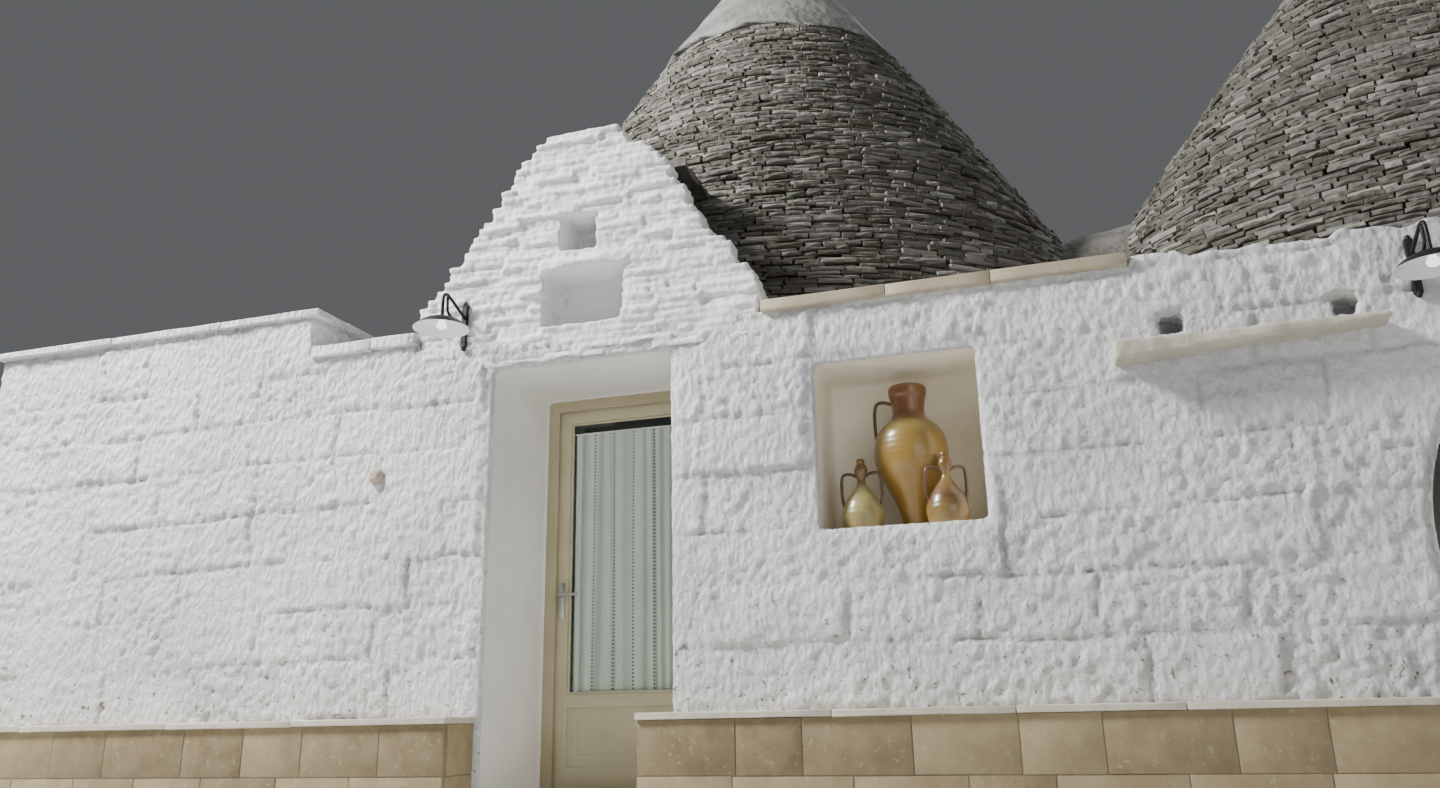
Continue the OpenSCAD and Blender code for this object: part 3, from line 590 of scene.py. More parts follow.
def weather(piece, voxel):
    apply(piece, "REMESH", mode="VOXEL", voxel_size=voxel, use_smooth_shade=True)
    apply(piece, "SMOOTH", factor=0.5, iterations=3)
    slice_off(piece, (0, 0, 0), (0, 0, -1))
    place = spots_of(piece)
    facing = np.abs(values(piece.data.vertices, "normal", 3))
    along = np.where(facing[:, 0] > facing[:, 1], place[:, 1] + 2, place[:, 0])
    gap, number, rng = squared_blocks(along, place[:, 2])
    filled = rng.uniform(0, 1, number.max() + 1)[number] ** 1.2
    stand = rng.uniform(0.3, 1.0, number.max() + 1)[number]
    coarse = rng.uniform(0.45, 1.0, number.max() + 1)[number]
    drown = 0.5 + 0.5 * np.sin(3.1 * along + 4.0 * np.sin(2.3 * place[:, 2]))
    depth = np.clip(gap / (0.014 + 0.012 * drown), 0, 1)
    depth = depth + (1 - depth) * filled
    rough = (1.0 - in_openings(place)) * calm_arris(place)
    mark(piece, "recess", (1 - depth) * rough)
    levels = 20
    for title, weight in (("faces", depth * stand * rough), ("rough", 0.12 + 0.88 * rough * coarse)):
        group = piece.vertex_groups.new(name=title)
        steps = np.round(weight * levels).astype(int)
        for step in range(1, levels + 1):
            group.add(np.flatnonzero(steps == step).tolist(), step / levels, "REPLACE")
    apply(piece, "DISPLACE", strength=0.020, mid_level=0.0, vertex_group="faces")
    push(piece, 0.018, 0.20, "rough", noise_depth=2)
    push(piece, 0.022, 0.075, "rough", 0.3, noise_depth=2, noise_type="HARD_NOISE")
    push(piece, 0.022, 0.034, "rough", noise_depth=1)


def lumpy_top(piece):
    spots = spots_of(piece)
    x, y, z = spots.T
    lumps = 0.3 + 0.5 * np.sin(6.1 * x) + 0.4 * np.sin(15.0 * x + 2) + 0.2 * np.sin(37 * x)
    high_enough = np.clip((z - ledge + 0.12) / 0.12, 0, 1) * (x > 3.26) * (y < 0.3)
    spots[:, 2] += 0.040 * np.clip(lumps, 0, 1) * high_enough
    move_to(piece, spots)


weather(front, 0.0155)
lumpy_top(front)
print("The front has", len(front.data.polygons), "faces")

# %% [markdown]
# Only the outside is kept: what lies under the roofs, inside the walls or behind the
# door frame would never be seen. The reveals get the smooth plaster, and the niche a
# brighter, warmer lime that is painted light for the glow lighting it from inside.

# %% Keep the outside and give the reveals their plaster
def hidden(centres, normals):
    x, y, z = centres.T
    roofed = (x < roof_right) & (x > left + 0.2) & (y > 0.2) & (y < back - 0.2)
    for cone in (main_cone, second_cone):
        cx, cy = cone["axis"]
        roofed |= np.hypot(x - cx, y - cy) < cone["r"] - 0.058
    topside = (normals[:, 2] > 0.7) & (z > ledge - 0.03) & (z < ledge + 0.05)
    return topside & roofed


def three_finishes(piece):
    coat_with(piece, limewash, plaster, lamplit_niche_lime)
    centres = values(piece.data.polygons, "center", 3)
    smooth = in_openings(centres).astype(np.int32)
    # painted light: faces inside the niche take the brighter, warmer lamplit lime
    in_niche = np.abs(centres[:, 0] - (niche_low.x + niche_high.x) / 2) < 0.5
    piece.data.polygons.foreach_set("material_index", smooth * (1 + in_niche))


def behind_front(c, n):
    x, y, z = c.T
    door_end = (np.abs(x - door_w / 2) < 0.53) & (z < 2.32) & (y > 0.648)
    room = (y > 1.1) & (x > arch_low.x - 0.1) & (x < arch_high.x + 0.1) & (z < 2.2)
    return door_end | room | ((y > 0.34) & ~in_openings(c))


drop_faces(front, lambda c, n: hidden(c, n) | behind_front(c, n))
three_finishes(front)


def split_off(piece, name, x):
    choose_faces(piece, lambda c, n: c[:, 0] < x)
    with editing(select_all=False):
        bpy.ops.mesh.separate(type="SELECTED")
    other = [chosen for chosen in bpy.context.selected_objects if chosen != piece][0]
    other.name = name
    return settle(other, "whitewash")


split_off(front, "front_lime_left", door_w / 2)
split_off(front, "front_lime_middle", 3.3)
front.name = "front_lime_right"
settle(front, "whitewash")

# %% The ends and the back, in wider steps
rest = wall_block("ends_and_back_lime", 0.25, back + skin)
weather(rest, 0.038)
slice_off(rest, (0, 0.30, 0), (0, -1, 0))
drop_faces(rest, hidden)
three_finishes(rest)
settle(rest, "whitewash")

# %% [markdown]
# ## The cones
# A cone is laid without mortar: ring upon ring of thin slabs, each ring set in a little,
# with a second, finer skin inside. A handful of slabs are shaped, chipped and then
# copied by the thousand, each to its own length, tilt and tone. Behind them stands one
# turned core that closes the dome; its outer face is near black, painted shade for the gaps between the
# slabs.

# %% A few slabs to copy
def chipped_slab(seed, material, front, chip=0.10, jitter=0.07):
    slab = block("slab", (-0.5, -0.5, -0.5), (0.5, 0.5, 0.5))
    choose_faces(slab, lambda c, n: n[:, 1] * front > 0.9)
    with editing(select_all=False):
        bpy.ops.transform.resize(value=(1 - chip, 1, 1 - 2 * chip))
        bpy.ops.mesh.poke(offset=chip / 2)
        bpy.ops.mesh.select_all(action="SELECT")
        bpy.ops.transform.vertex_random(offset=jitter, seed=seed)
    return coat_with(slab, material)


def lay(name, shapes, places):
    copies = []
    for matrix, tone in places:
        shape = random.choice(shapes)
        copy = shape.copy()
        copy.data = shape.data.copy()
        copy.data.transform(matrix)
        mark(copy, "tone", np.full(len(copy.data.vertices), tone))
        bpy.context.collection.objects.link(copy)
        copies.append(copy)
    print(name, "is laid of", len(copies), "pieces")
    return unite(name, *copies)


def clear_away(shapes):
    for shape in shapes:
        bpy.data.objects.remove(shape)


random.seed(11)
roof_slabs = [chipped_slab(n + 1, roof_grey, 1) for n in range(9)]

# %% Where each slab of a cone lies
valley = 3.24
gable_middle, gable_half, gable_h = 0.52, 0.99, 1.235
saddle_inset = 0.06
gable_right = [(0, 1), (0.09, 1), (0.29, 0.86), (0.46, 0.68), (0.8, 0.46), (0.98, 0.2), (1, 0.1)]
gable_left = [(0, 1), (0.22, 1), (0.35, 0.84), (0.75, 0.49), (0.84, 0.44), (1, 0.22)]


def side_r(cone, z):
    share = z / cone["h"]
    return cone["r"] * (1 - share) + 4 * cone["bulge"] * share * (1 - share)


def gable_side(side, z, inset=0.0):
    heights, shares = zip(*(gable_right if side > 0 else gable_left))
    share = float(np.interp(z / (gable_h - inset), heights, shares))
    return gable_middle + side * (gable_half - inset) * share


def slab_at(x, y, z, facing, size, tilt=0.0, sway=0.0, lean=0.0):
    turned = (Matrix.Rotation(facing - math.pi / 2 + sway, 4, "Z") @ Matrix.Rotation(-tilt, 4, "X")
              @ Matrix.Rotation(lean, 4, "Y"))
    return Matrix.Translation((x, y, z)) @ turned @ Matrix.Diagonal((*size, 1))


def stone_tone():
    return random.uniform(0.75, 1.0) if random.random() < 0.12 else random.uniform(0.0, 0.72)


def cone_places(cone, hidden_at):
    cx, cy = cone["axis"]
    places, z = [], 0.0
    while z < cone["cap"] - 0.02:
        thick = min(random.uniform(0.028, 0.043), cone["cap"] - z)
        r = side_r(cone, z + thick / 2) + 0.006
        angle = random.uniform(0, 1)
        end = angle + 2 * math.pi
        while angle < end:
            length = min(random.triangular(0.06, 0.26, 0.11), r * 0.4, (end - angle) * r)
            middle = angle + length / r / 2
            angle += length / r
            out = r - 0.10 + random.uniform(-0.016, 0.013)
            x, y = cx + out * math.cos(middle), cy + out * math.sin(middle)
            if hidden_at(x, y, z) or length < 0.03:
                continue
            size = (length + 0.004, 0.20, thick * random.uniform(0.78, 1.06))
            tilt, sway = random.uniform(-0.02, 0.12), random.uniform(-0.05, 0.05)
            up = ledge + z + thick / 2 + random.uniform(-0.004, 0.004)
            spot = slab_at(x, y, up, middle, size, tilt, sway, random.uniform(-0.035, 0.035))
            places.append((spot, stone_tone()))
        z += thick
    return places


def main_hidden(x, y, z):
    if x > valley + 0.10:
        return True
    inside = gable_side(-1, z, saddle_inset) + 0.2 < x < gable_side(1, z, saddle_inset) - 0.2
    return y < 1.1 and z < gable_h - 0.2 and inside


main_slabs = lay("main_cone_slabs", roof_slabs, cone_places(main_cone, main_hidden))
second_slabs = lay("second_cone_slabs", roof_slabs,
                   cone_places(second_cone, lambda x, y, z: x < valley - 0.10))
settle(main_slabs, "roof_stone", "main_cone_front", "main_cone_back")
settle(second_slabs, "roof_stone", "second_cone_front", "second_cone_back")

# %% A core that is drawn point by point and spun round the cone's axis
def turned(name, outline, centre, steps):
    let_go()
    (cx, cy), (r, z) = centre, outline[0]
    bpy.ops.mesh.primitive_plane_add(size=0.001, location=(cx + r, cy, z))
    piece = bpy.context.object
    piece.name = name
    bpy.ops.object.transform_apply(location=True, rotation=True, scale=True)
    bpy.context.tool_settings.mesh_select_mode = (True, False, False)
    with editing():
        bpy.ops.mesh.merge(type="CENTER")
        for (r0, z0), (r1, z1) in zip(outline, outline[1:]):
            bpy.ops.mesh.extrude_region_move(TRANSFORM_OT_translate={"value": (r1 - r0, 0, z1 - z0)})
        bpy.ops.mesh.select_all(action="SELECT")
        bpy.ops.mesh.spin(steps=steps, angle=2 * math.pi, center=(cx, cy, 0), axis=(0, 0, 1))
        bpy.ops.mesh.select_all(action="SELECT")
        bpy.ops.mesh.remove_doubles(threshold=0.00005)
        bpy.ops.mesh.normals_make_consistent(inside=False)
    return piece


def dome_r(foot, cap, z):
    share = z / cap
    return foot + (0.3 - foot) * share + 0.24 * share * (1 - share)


def cone_core(name, cone, foot, keep):
    cap = cone["cap"]
    outline = [(side_r(cone, cap * k / 12) - 0.07, ledge + cap * k / 12) for k in range(13)]
    outline += [(dome_r(foot, cap, cap * k / 16), ledge + cap * k / 16) for k in range(16, -1, -1)]
    core = turned(name, outline + outline[:1], cone["axis"], 72)
    slice_off(core, (valley, 0, 0), (keep, 0, 0), fill=True)
    # painted shade: the core's outer faces are near black, and its inner faces take the plaster
    coat_with(core, core_dark, plaster, smooth=True)
    cx, cy = cone["axis"]
    second_finish(core, lambda c, n: (c[:, 0] - cx) * n[:, 0] + (c[:, 1] - cy) * n[:, 1] < 0)
    settle(core, "roof_stone")


cone_core("main_cone_core", main_cone, 1.85, 1)
cone_core("second_cone_core", second_cone, 1.75, -1)

# %% [markdown]
# ## The gable and the saddle behind it
# Over the door rises a gable of thin slabs, whitewashed so often that its courses have
# run together. Real slabs are laid first, row by row round the two niches, and a remesh
# then melts them into one coat of lime. A saddle of bare slabs leads back to the cone.

# %% Rows of slabs for the gable
gable_slabs = [chipped_slab(n + 80, slab_lime, -1, chip=0.06, jitter=0.06) for n in range(5)]
low_niche = (gable_middle - 0.23, gable_middle + 0.23, 0.085, 0.385)
high_niche = (gable_middle - 0.135, gable_middle + 0.075, 0.515, 0.72)
beds = [-0.12, *low_niche[2:], *high_niche[2:], gable_h]
rows_between = [5, 7, 3, 5, 12]
niche_depth = 0.25


def gable_stone(x0, x1, z0, z1, face, rear=0.40):
    middle = Vector(((x0 + x1) / 2, (face + rear) / 2, ledge + (z0 + z1) / 2))
    return Matrix.Translation(middle) @ Matrix.Diagonal((x1 - x0, rear - face, z1 - z0, 1)), 0.5


def row_places():
    for z0, z1, rows in zip(beds, beds[1:], rows_between):
        for k in range(rows):
            thick = (z1 - z0) / rows
            z = z0 + thick * k
            height = max(0.0, z + thick / 2)
            ends = (gable_side(-1, height) + random.uniform(-0.020, 0.022),
                    gable_side(1, height) + random.uniform(-0.034, 0.036))
            spans = [(*ends, 0.0)]
            for x0, x1, low, high in (low_niche, high_niche):
                if low - 0.001 < z < high - 0.01:
                    spans = [(ends[0], x0, 0.0), (x0, x1, niche_depth), (x1, ends[1], 0.0)]
            for start, stop, front_y in spans:
                x = start
                yield gable_stone(start + 0.10 * (start == ends[0]), stop - 0.10 * (stop == ends[1]),
                                  z - 0.001, z + thick + 0.001, front_y + 0.008)
                while x < stop - 0.001:
                    length = random.uniform(0.09, 0.30)
                    if stop - x - length < 0.07:
                        length = stop - x
                    face = front_y + random.uniform(-0.036, -0.012) * (front_y == 0.0)
                    foot = z + thick * random.uniform(0.02, 0.12)
                    head = z + thick * random.uniform(0.86, 0.98)
                    yield gable_stone(x - 0.001, x + length + 0.001, foot, head, face, front_y + 0.10)
                    x += length
    yield gable_stone(low_niche[0] - 0.02, low_niche[1] + 0.03, 0.388, 0.462, -0.042)


gable = lay("gable_slabs", gable_slabs, list(row_places()))
apply(gable, "REMESH", mode="VOXEL", voxel_size=0.0102, use_smooth_shade=True)
drop_faces(gable, lambda c, n: (c[:, 1] > 0.37) & (n[:, 1] > 0.5))
drop_faces(gable, lambda c, n: (c[:, 2] < ledge - 0.06) & (n[:, 2] < -0.5))
push(gable, 0.014, 0.12)
push(gable, 0.006, 0.03)
settle(gable, "whitewash", "gable")
clear_away(gable_slabs)

# %% Bare slabs on the saddle
saddle = []
z, step = 0.0, 0.043
while z < gable_h - 0.10:
    for side in (-1, 1):
        x = gable_side(side, z + step / 2, saddle_inset)
        if side > 0:
            x = min(x, gable_middle + 0.86 * (gable_half - saddle_inset))
        reach = side_r(main_cone, z) ** 2 - (x - main_cone["axis"][0]) ** 2
        stop = main_cone["axis"][1] - math.sqrt(max(reach, 0)) + 0.05
        y = 0.085
        while y < stop:
            length = random.uniform(0.12, 0.30)
            spot = slab_at(x - side * 0.07 + random.uniform(-0.01, 0.01), y + length / 2,
                           ledge + z + step / 2, math.pi * (side < 0), (length, 0.18, step * 0.96))
            saddle.append((spot, stone_tone()))
            y += length
    z += step
for k in range(5):
    for x in np.arange(gable_side(-1, 1.16) - 0.02, gable_side(1, 1.10), 0.19):
        spot = slab_at(x + 0.1, 0.47 + 0.13 * k, ledge + 1.165, math.pi / 2,
                       (0.2, 0.16, 0.045), 0.0, random.uniform(-0.1, 0.1))
        saddle.append((spot, random.uniform(0.2, 0.7)))
settle(lay("saddle_slabs", roof_slabs, saddle), "roof_stone")
clear_away(roof_slabs)

# %% [markdown]
# ## Caps, pinnacles and the valley
# The tip of each cone is sealed with lime, which shows pale against the slabs; its colour is
# a dull grey, painted shade for the dim light at the top of the cones. On it stands a turned
# pinnacle: a neck, a disc and a ball. Where the cones meet, a saddle of
# lime mortar turns the rain to the front and the back.

# %% A smooth line through a few points
def flowing(points, steps=5):
    p = [Vector(point) for point in points]
    p = [2 * p[0] - p[1], *p, 2 * p[-1] - p[-2]]
    line = []
    for a, b, c, d in zip(p, p[1:], p[2:], p[3:]):
        for k in range(steps):
            t = k / steps
            line.append((2 * b + (c - a) * t + (2 * a - 5 * b + 4 * c - d) * t * t
                         + (3 * b - a - 3 * c + d) * t ** 3) / 2)
    return line + [p[-2]]


# %% A lime cap with its pinnacle
def height_at_radius(cone, radius):
    heights = np.linspace(0, cone["h"], 400)
    return float(np.interp(-radius, [-side_r(cone, z) for z in heights], heights))


def lime_cap(name, cone):
    top = ledge + height_at_radius(cone, 0.19)
    z0 = ledge + cone["cap"] - 0.03
    side = [(side_r(cone, z - ledge) + 0.022, z) for z in np.linspace(z0, top - 0.02, 22)]
    neck = flowing([(0.185, top), (0.150, top + 0.07), (0.118, top + 0.16), (0.120, top + 0.22)], 4)
    disc = flowing([(0.20, top + 0.222), (0.232, top + 0.25), (0.20, top + 0.278)], 4)
    seat = top + 0.28 + math.sqrt(0.15 ** 2 - 0.075 ** 2)
    bends = np.linspace(-1.05, math.pi / 2, 16)
    ball = [(0.15 * math.cos(a), seat + 0.15 * math.sin(a)) for a in bends]
    outline = [(side[0][0] - 0.08, z0)] + side + neck + disc + ball
    piece = turned(name, outline, cone["axis"], 64)
    spots = spots_of(piece)
    a = np.arctan2(spots[:, 1] - cone["axis"][1], spots[:, 0] - cone["axis"][0])
    ragged = 0.05 * np.sin(3 * a + 1) + 0.03 * np.sin(8 * a) + 0.015 * np.sin(19 * a)
    spots[:, 2] += ragged * np.clip(1 - (spots[:, 2] - z0) / 0.45, 0, 1)
    move_to(piece, spots)
    push(piece, 0.020, 0.35)
    push(piece, 0.008, 0.06)
    # painted shade: the cap takes the dull grey that stands for the dim light at the cone's tip
    return coat_with(piece, shade_grey_cap, smooth=True)


caps = [lime_cap("main_cap", main_cone), lime_cap("second_cap", second_cone)]
settle(unite("lime_caps", *caps), "plaster_white", "cone_caps", "pinnacles")

# %% The lime saddle between the cones
mortar = finish("grey_mortar", [(0.11, 0.105, 0.09), (0.21, 0.20, 0.17)], 0.9, blotch=4.0, marks=24.0,
                depth=0.012)
saddle_block = block("valley_mortar", (valley - 0.32, 1.45, ledge - 0.05),
                     (valley + 0.42, 4.45, ledge + 1.35))
with editing():
    bpy.ops.mesh.subdivide(number_cuts=14)
place = spots_of(saddle_block)
lift = np.clip(1 - ((place[:, 1] - 2.95) / 1.52) ** 2, 0, 1) ** 0.75
place[:, 2] = ledge + (place[:, 2] - ledge) * np.where(place[:, 2] > ledge, lift, 1)
place[:, 2] += np.where(place[:, 2] > ledge + 0.1, 0.12 * (place[:, 0] - valley), 0)
move_to(saddle_block, place)
push(saddle_block, 0.05, 0.22)
settle(coat_with(saddle_block, mortar, smooth=True), "roof_stone", "valley_gutter")

# %% [markdown]
# ## Copings, shelf and step
# Cut slabs protect the tops of the walls. Each is a block with rounded arrises and
# slightly uneven faces, laid with a thin joint to the next and never quite in line.

# %% A cut slab of true size
def cut_slab(size, material, seed, cuts=3, arris=0.008, wear=0.006):
    slab = block("slab", -Vector(size) / 2, Vector(size) / 2)
    with editing():
        bpy.ops.mesh.subdivide(number_cuts=cuts)
        bpy.ops.transform.vertex_random(offset=wear / 2, seed=seed)
    return coat_with(round_edges(slab, arris, 0.9, smooth=0.7), material)


def laid_slabs(name, slot, size, material, count, places, node=None, **shape):
    shapes = [cut_slab(size, material, n, **shape) for n in range(count)]
    settle(lay(name, shapes, places), slot, *([node] if node else []))
    clear_away(shapes)


def split(start, stop, typical):
    count = max(1, round((stop - start) / typical))
    ends = np.linspace(start, stop, count + 1)
    ends[1:-1] += np.array([random.uniform(-0.16, 0.16) for _ in range(count - 1)]) * typical
    return list(zip(ends, ends[1:]))


def laid_in_line(size, low, high, typical, gap=0.004, sway=0.003):
    low, high = Vector(low), Vector(high)
    middle, span = (low + high) / 2, high - low
    line = 0 if span.x >= span.y else 1
    turn_by = Matrix.Rotation(line * math.pi / 2, 4, "Z")
    places = []
    for a, b in split(low[line], high[line], typical):
        spot = middle.copy()
        spot[line] = (a + b) / 2
        spot.z += random.uniform(-sway, sway)
        spot[1 - line] += random.uniform(-sway, sway)
        stretch = ((b - a - gap) / size[0], span[1 - line] / size[1], span.z / size[2])
        places.append((Matrix.Translation(spot) @ turn_by @ Matrix.Diagonal((*stretch, 1)),
                       random.uniform(0.1, 0.9)))
    return places


# %% Copings
random.seed(23)
high_z = grid_box("left_parapet")[1].z
over, inner = 0.055, parapet_t + 0.040
coping_t = 0.045
bands = [
    (left - over, -over, return_x + 0.03, inner),
    (left - over, inner, left + inner, back + over),
    (left + inner, back - inner, roof_right, back + over),
    (return_x - inner, inner, return_x + 0.03, 1.55),
]
white_size, beige_size = (0.8, 0.24, 0.05), (0.8, 0.26, 0.06)
wing = [spot for x0, y0, x1, y1 in bands
        for spot in laid_in_line(white_size, (x0, y0, high_z), (x1, y1, high_z + coping_t), 0.8)]
laid_slabs("wing_coping_slabs", "whitewash", white_size, limewash, 4, wing, "wing_coping")
low_band = laid_in_line(white_size, (return_x, -over, low_parapet),
                        (gable_middle - gable_half, inner, low_parapet + 0.070), 0.36)
laid_slabs("low_coping_slabs", "whitewash", white_size, limewash, 4, low_band, "left_coping")
right_band = laid_in_line(beige_size, (gable_middle + gable_half, -over, ledge),
                          (valley, inner, ledge + 0.06), 0.62, gap=0.002, sway=0.001)
laid_slabs("beige_coping_slabs", "beige_stone", beige_size, beige, 3, right_band, "right_coping",
           arris=0.005, wear=0.003)

# %% Shelf, step and boss
def worn_down(piece, voxel, wear, size, material):
    apply(piece, "REMESH", mode="VOXEL", voxel_size=voxel, use_smooth_shade=True)
    apply(piece, "SMOOTH", factor=0.6, iterations=6)
    return coat_with(push(piece, wear, size), material)


shelf_low, shelf_high = grid_box("shelf_slab")
shelf = block("shelf", shelf_low - Vector((0, 0.006, 0)), (shelf_high.x, 0.03, shelf_high.z))
spots = spots_of(shelf)
spots[(spots[:, 0] > shelf_high.x - 0.1) & (spots[:, 2] < shelf_low.z + 0.01), 2] += 0.060
move_to(shelf, spots)
settle(worn_down(shelf, 0.011, 0.016, 0.10, cream_lime), "whitewash", "shelf_slab")

step = block("worn_step", *grid_box("doorstep"))
settle(worn_down(step, 0.02, 0.008, 0.09, flags), "floor_stone", "doorstep")

clay = finish("bare_clay", [(0.36, 0.28, 0.21), (0.50, 0.42, 0.34), (0.62, 0.56, 0.49)], 0.8,
              blotch=14.0, marks=50.0, depth=0.0015)
boss_low, boss_high = grid_box("wall_boss")
boss_at = (boss_low + boss_high) / 2
outline = flowing([(0.0001, 0.062), (0.020, 0.060), (0.036, 0.050), (0.045, 0.030), (0.046, 0.004)], 3)
boss = turned("clay_boss", outline, (0, 0), 28)
laid_flat = Matrix.Rotation(math.pi / 2, 4, "X")
boss.data.transform(Matrix.Translation((boss_at.x, 0, boss_at.z)) @ laid_flat)
push(boss, 0.006, 0.03)
settle(coat_with(boss, clay, smooth=True), "terracotta", "wall_boss")

# %% [markdown]
# ## The benches
# A bench is a low wall faced with tan tiles in two courses, with staggered joints, under
# a thin slab with rounded edges. The tiles stand a little proud of their joints.

# %% Tiles and bench tops
bench_front = -0.285
top_under, top_over = (spot.z for spot in grid_box("bench_tops"))
benches = [(left, -0.02), (0.95, 4.11), (6.39, right)]
tile_size, top_size = (0.42, 0.03, 0.231), (0.9, 0.3, 0.03)
course_h = top_under / 2
tile_places = []
for start, stop in benches:
    for k in range(2):
        z0, z1 = course_h * k + 0.002, course_h * (k + 1) - 0.002
        tile_places += laid_in_line(tile_size, (start - 0.004, bench_front - 0.004, z0),
                                    (stop + 0.004, bench_front + 0.026, z1), 0.43 - 0.05 * k,
                                    sway=0.001)
        for x, outward in ((start, -1), (stop, 1)):
            near, far = sorted((x + outward * 0.004, x - outward * 0.026))
            tile_places += laid_in_line(tile_size, (near, bench_front + 0.03, z0), (far, 0, z1), 0.27,
                                        sway=0.0005)
laid_slabs("bench_tiles", "tile_stone", tile_size, tiles, 4, tile_places,
           cuts=1, arris=0.003, wear=0.002)
top_places = []
for start, stop in benches:
    top_places += laid_in_line(top_size, (start - 0.012, bench_front - 0.018, top_under),
                               (stop + 0.012, 0.002, top_over), 0.9, gap=0.003, sway=0.0015)
laid_slabs("bench_top_slabs", "beige_stone", top_size, pale_top, 3, top_places, "bench_tops",
           cuts=4, arris=0.006, wear=0.004)

# %% [markdown]
# ## Floors and the flat roof
# Flags of one width in rows, cut to many lengths, pave the rooms. The flat roof over the
# alcove has larger, greyer ones.

# %% Flags
def paving(size, x0, y0, x1, y1, top, joint=0.006):
    places = []
    for near, far in split(y0, y1, size[1]):
        places += laid_in_line(size, (x0, near + joint / 2, top - size[2]),
                               (x1, far - joint / 2, top), size[0], gap=joint, sway=0.0008)
    return places


flag_size, roof_flag_size = (0.52, 0.42, 0.03), (0.6, 0.5, 0.04)
rooms = [(-0.98, 1.20, 2.82, 5.0), (3.45, 1.10, 7.05, 4.70), (-3.04, 0.80, -1.80, 5.0),
         (4.26, 0.01, 6.24, 1.10), (0.01, 0.73, 1.02, 1.20)]
room_places = [spot for room in rooms for spot in paving(flag_size, *room, 0.103)]
laid_slabs("room_flags", "floor_stone", flag_size, flags, 4, room_places,
           cuts=1, arris=0.005, wear=0.002)
roof_places = paving(roof_flag_size, left + 0.2, 0.2, -1.98, back - 0.2, ledge + 0.112)
laid_slabs("wing_roof_flags", "roof_stone", roof_flag_size, roof_grey, 3, roof_places,
           cuts=1, arris=0.006)

# %% [markdown]
# ## The glazed door
# The joiner's work is crisp, so its measured parts are copied, merged and given small
# rounded edges. Beads hold the glass, and the lower panel gets a raised field.

# %% Paint, steel and glass
cream = finish("cream_paint", [(0.50, 0.45, 0.29), (0.60, 0.55, 0.38)], 0.38, blotch=2.5, marks=90.0,
               tooth=0.2, depth=0.0004)
cream_dark = finish("cream_paint_frame", [(0.39, 0.335, 0.205), (0.49, 0.425, 0.28)], 0.42,
                    blotch=2.5, marks=90.0, tooth=0.2, depth=0.0004)
steel = finish("brushed_steel", [(0.42, 0.42, 0.41), (0.55, 0.55, 0.54)], 0.32, blotch=20.0,
               marks=150.0, depth=0.0002, Metallic=1.0)
iron = finish("black_iron", [(0.016, 0.015, 0.015), (0.035, 0.032, 0.030)], 0.5, blotch=12.0,
              marks=120.0, depth=0.0006, Metallic=0.6)
enamel = finish("white_enamel", [(0.80, 0.80, 0.77), (0.88, 0.88, 0.86)], 0.2, blotch=6.0, marks=60.0,
                depth=0.0003, Coat_Weight=0.5)
glass, tree, look = new_material("window_glass", Base_Color=(0.20, 0.26, 0.24, 1), Roughness=0.03)
facing = node(tree, "LayerWeight", {"Blend": 0.5}).outputs["Facing"]
edge = times(tree, math_node(tree, "POWER", facing, 4.0), 0.7)
streaks = blotch_mask(tree, own_place(tree), 5.0, 0.4, 0.9)
clear = math_node(tree, "ADD", times(tree, streaks, 0.05), edge)
tree.links.new(math_node(tree, "ADD", clear, 0.04), look["Alpha"])


# %% Joiner's parts with soft edges
def dressed(name, source, slot, coat, body, arris=0.0025):
    piece = frame["nodes"][source].copy()
    piece.data = piece.data.copy()
    piece.name = name
    bpy.context.collection.objects.link(piece)
    take(piece)
    with editing():
        bpy.ops.mesh.remove_doubles(threshold=0.00002)
        bpy.ops.mesh.dissolve_limited(angle_limit=0.03)
    round_edges(piece, arris, 0.6, smooth=0.6)
    piece.data.materials.clear()
    settle(coat_with(piece, coat), slot, source, body=body, shift=False)


dressed("frame_joinery", "door_frame", "cream_paint", cream_dark, "house")
dressed("frame_rebate", "door_stop", "cream_paint", cream_dark, "house")
dressed("leaf_joinery", "leaf_frame", "cream_paint", cream, "door_leaf", arris=0.004)
dressed("handle_steel", "door_handle", "steel", steel, "door_leaf", arris=0.0015)

# %% Beads round the glass
pane_low, pane_high = grid_box("leaf_glass")


def bead_frame(y0, y1, wide):
    bead = block("bead", (pane_low.x, y0, pane_low.z), (pane_high.x, y1, pane_high.z))
    cut(bead, block("tool", (pane_low.x + wide, y0 - 1, pane_low.z + wide),
                    (pane_high.x - wide, y1 + 1, pane_high.z - wide)))
    return coat_with(round_edges(bead, 0.004, 0.6, segments=3, smooth=0.6), cream)


beads = [bead_frame(pane_low.y - 0.013, pane_low.y, 0.013),
         bead_frame(pane_high.y, pane_high.y + 0.002, 0.009)]
settle(unite("glass_beads", *beads), "cream_paint", body="door_leaf")

# %% The lower panel with its raised field and mouldings
panel = block("door_panel", *grid_box("leaf_panel"))
for direction in (-1, 1):
    choose_faces(panel, lambda c, n: n[:, 1] * direction > 0.9)
    with editing(select_all=False):
        for width, depth in ((0.045, 0.0), (0.010, -0.002), (0.006, 0.0), (0.012, 0.002)):
            bpy.ops.mesh.inset(thickness=width, depth=depth)
round_edges(panel, 0.0012, 0.3)
settle(coat_with(panel, cream), "cream_paint", "leaf_panel", body="door_leaf")

# %% [markdown]
# ## The gathered curtain
# A sheer curtain hangs from a thin rod on the room side of the glass. Its folds are
# deeper in the middle than at the heading, and rows of small eyelets run down it. The
# rows follow the cloth, so they read the sheet's own map.

# %% Sheer cloth
voile, tree, look = new_material("sheer_voile", Roughness=0.9, Sheen_Weight=0.4)
weave_map = node(tree, "UVMap").outputs[0]
across, down, _ = node(tree, "SeparateXYZ", {0: weave_map}).outputs


def rows_of(value, step, inner, outer):
    away = math_node(tree, "PINGPONG", value, step, clamp=False)
    return spread_node(tree, away, inner, outer, 1.0, 0.0)


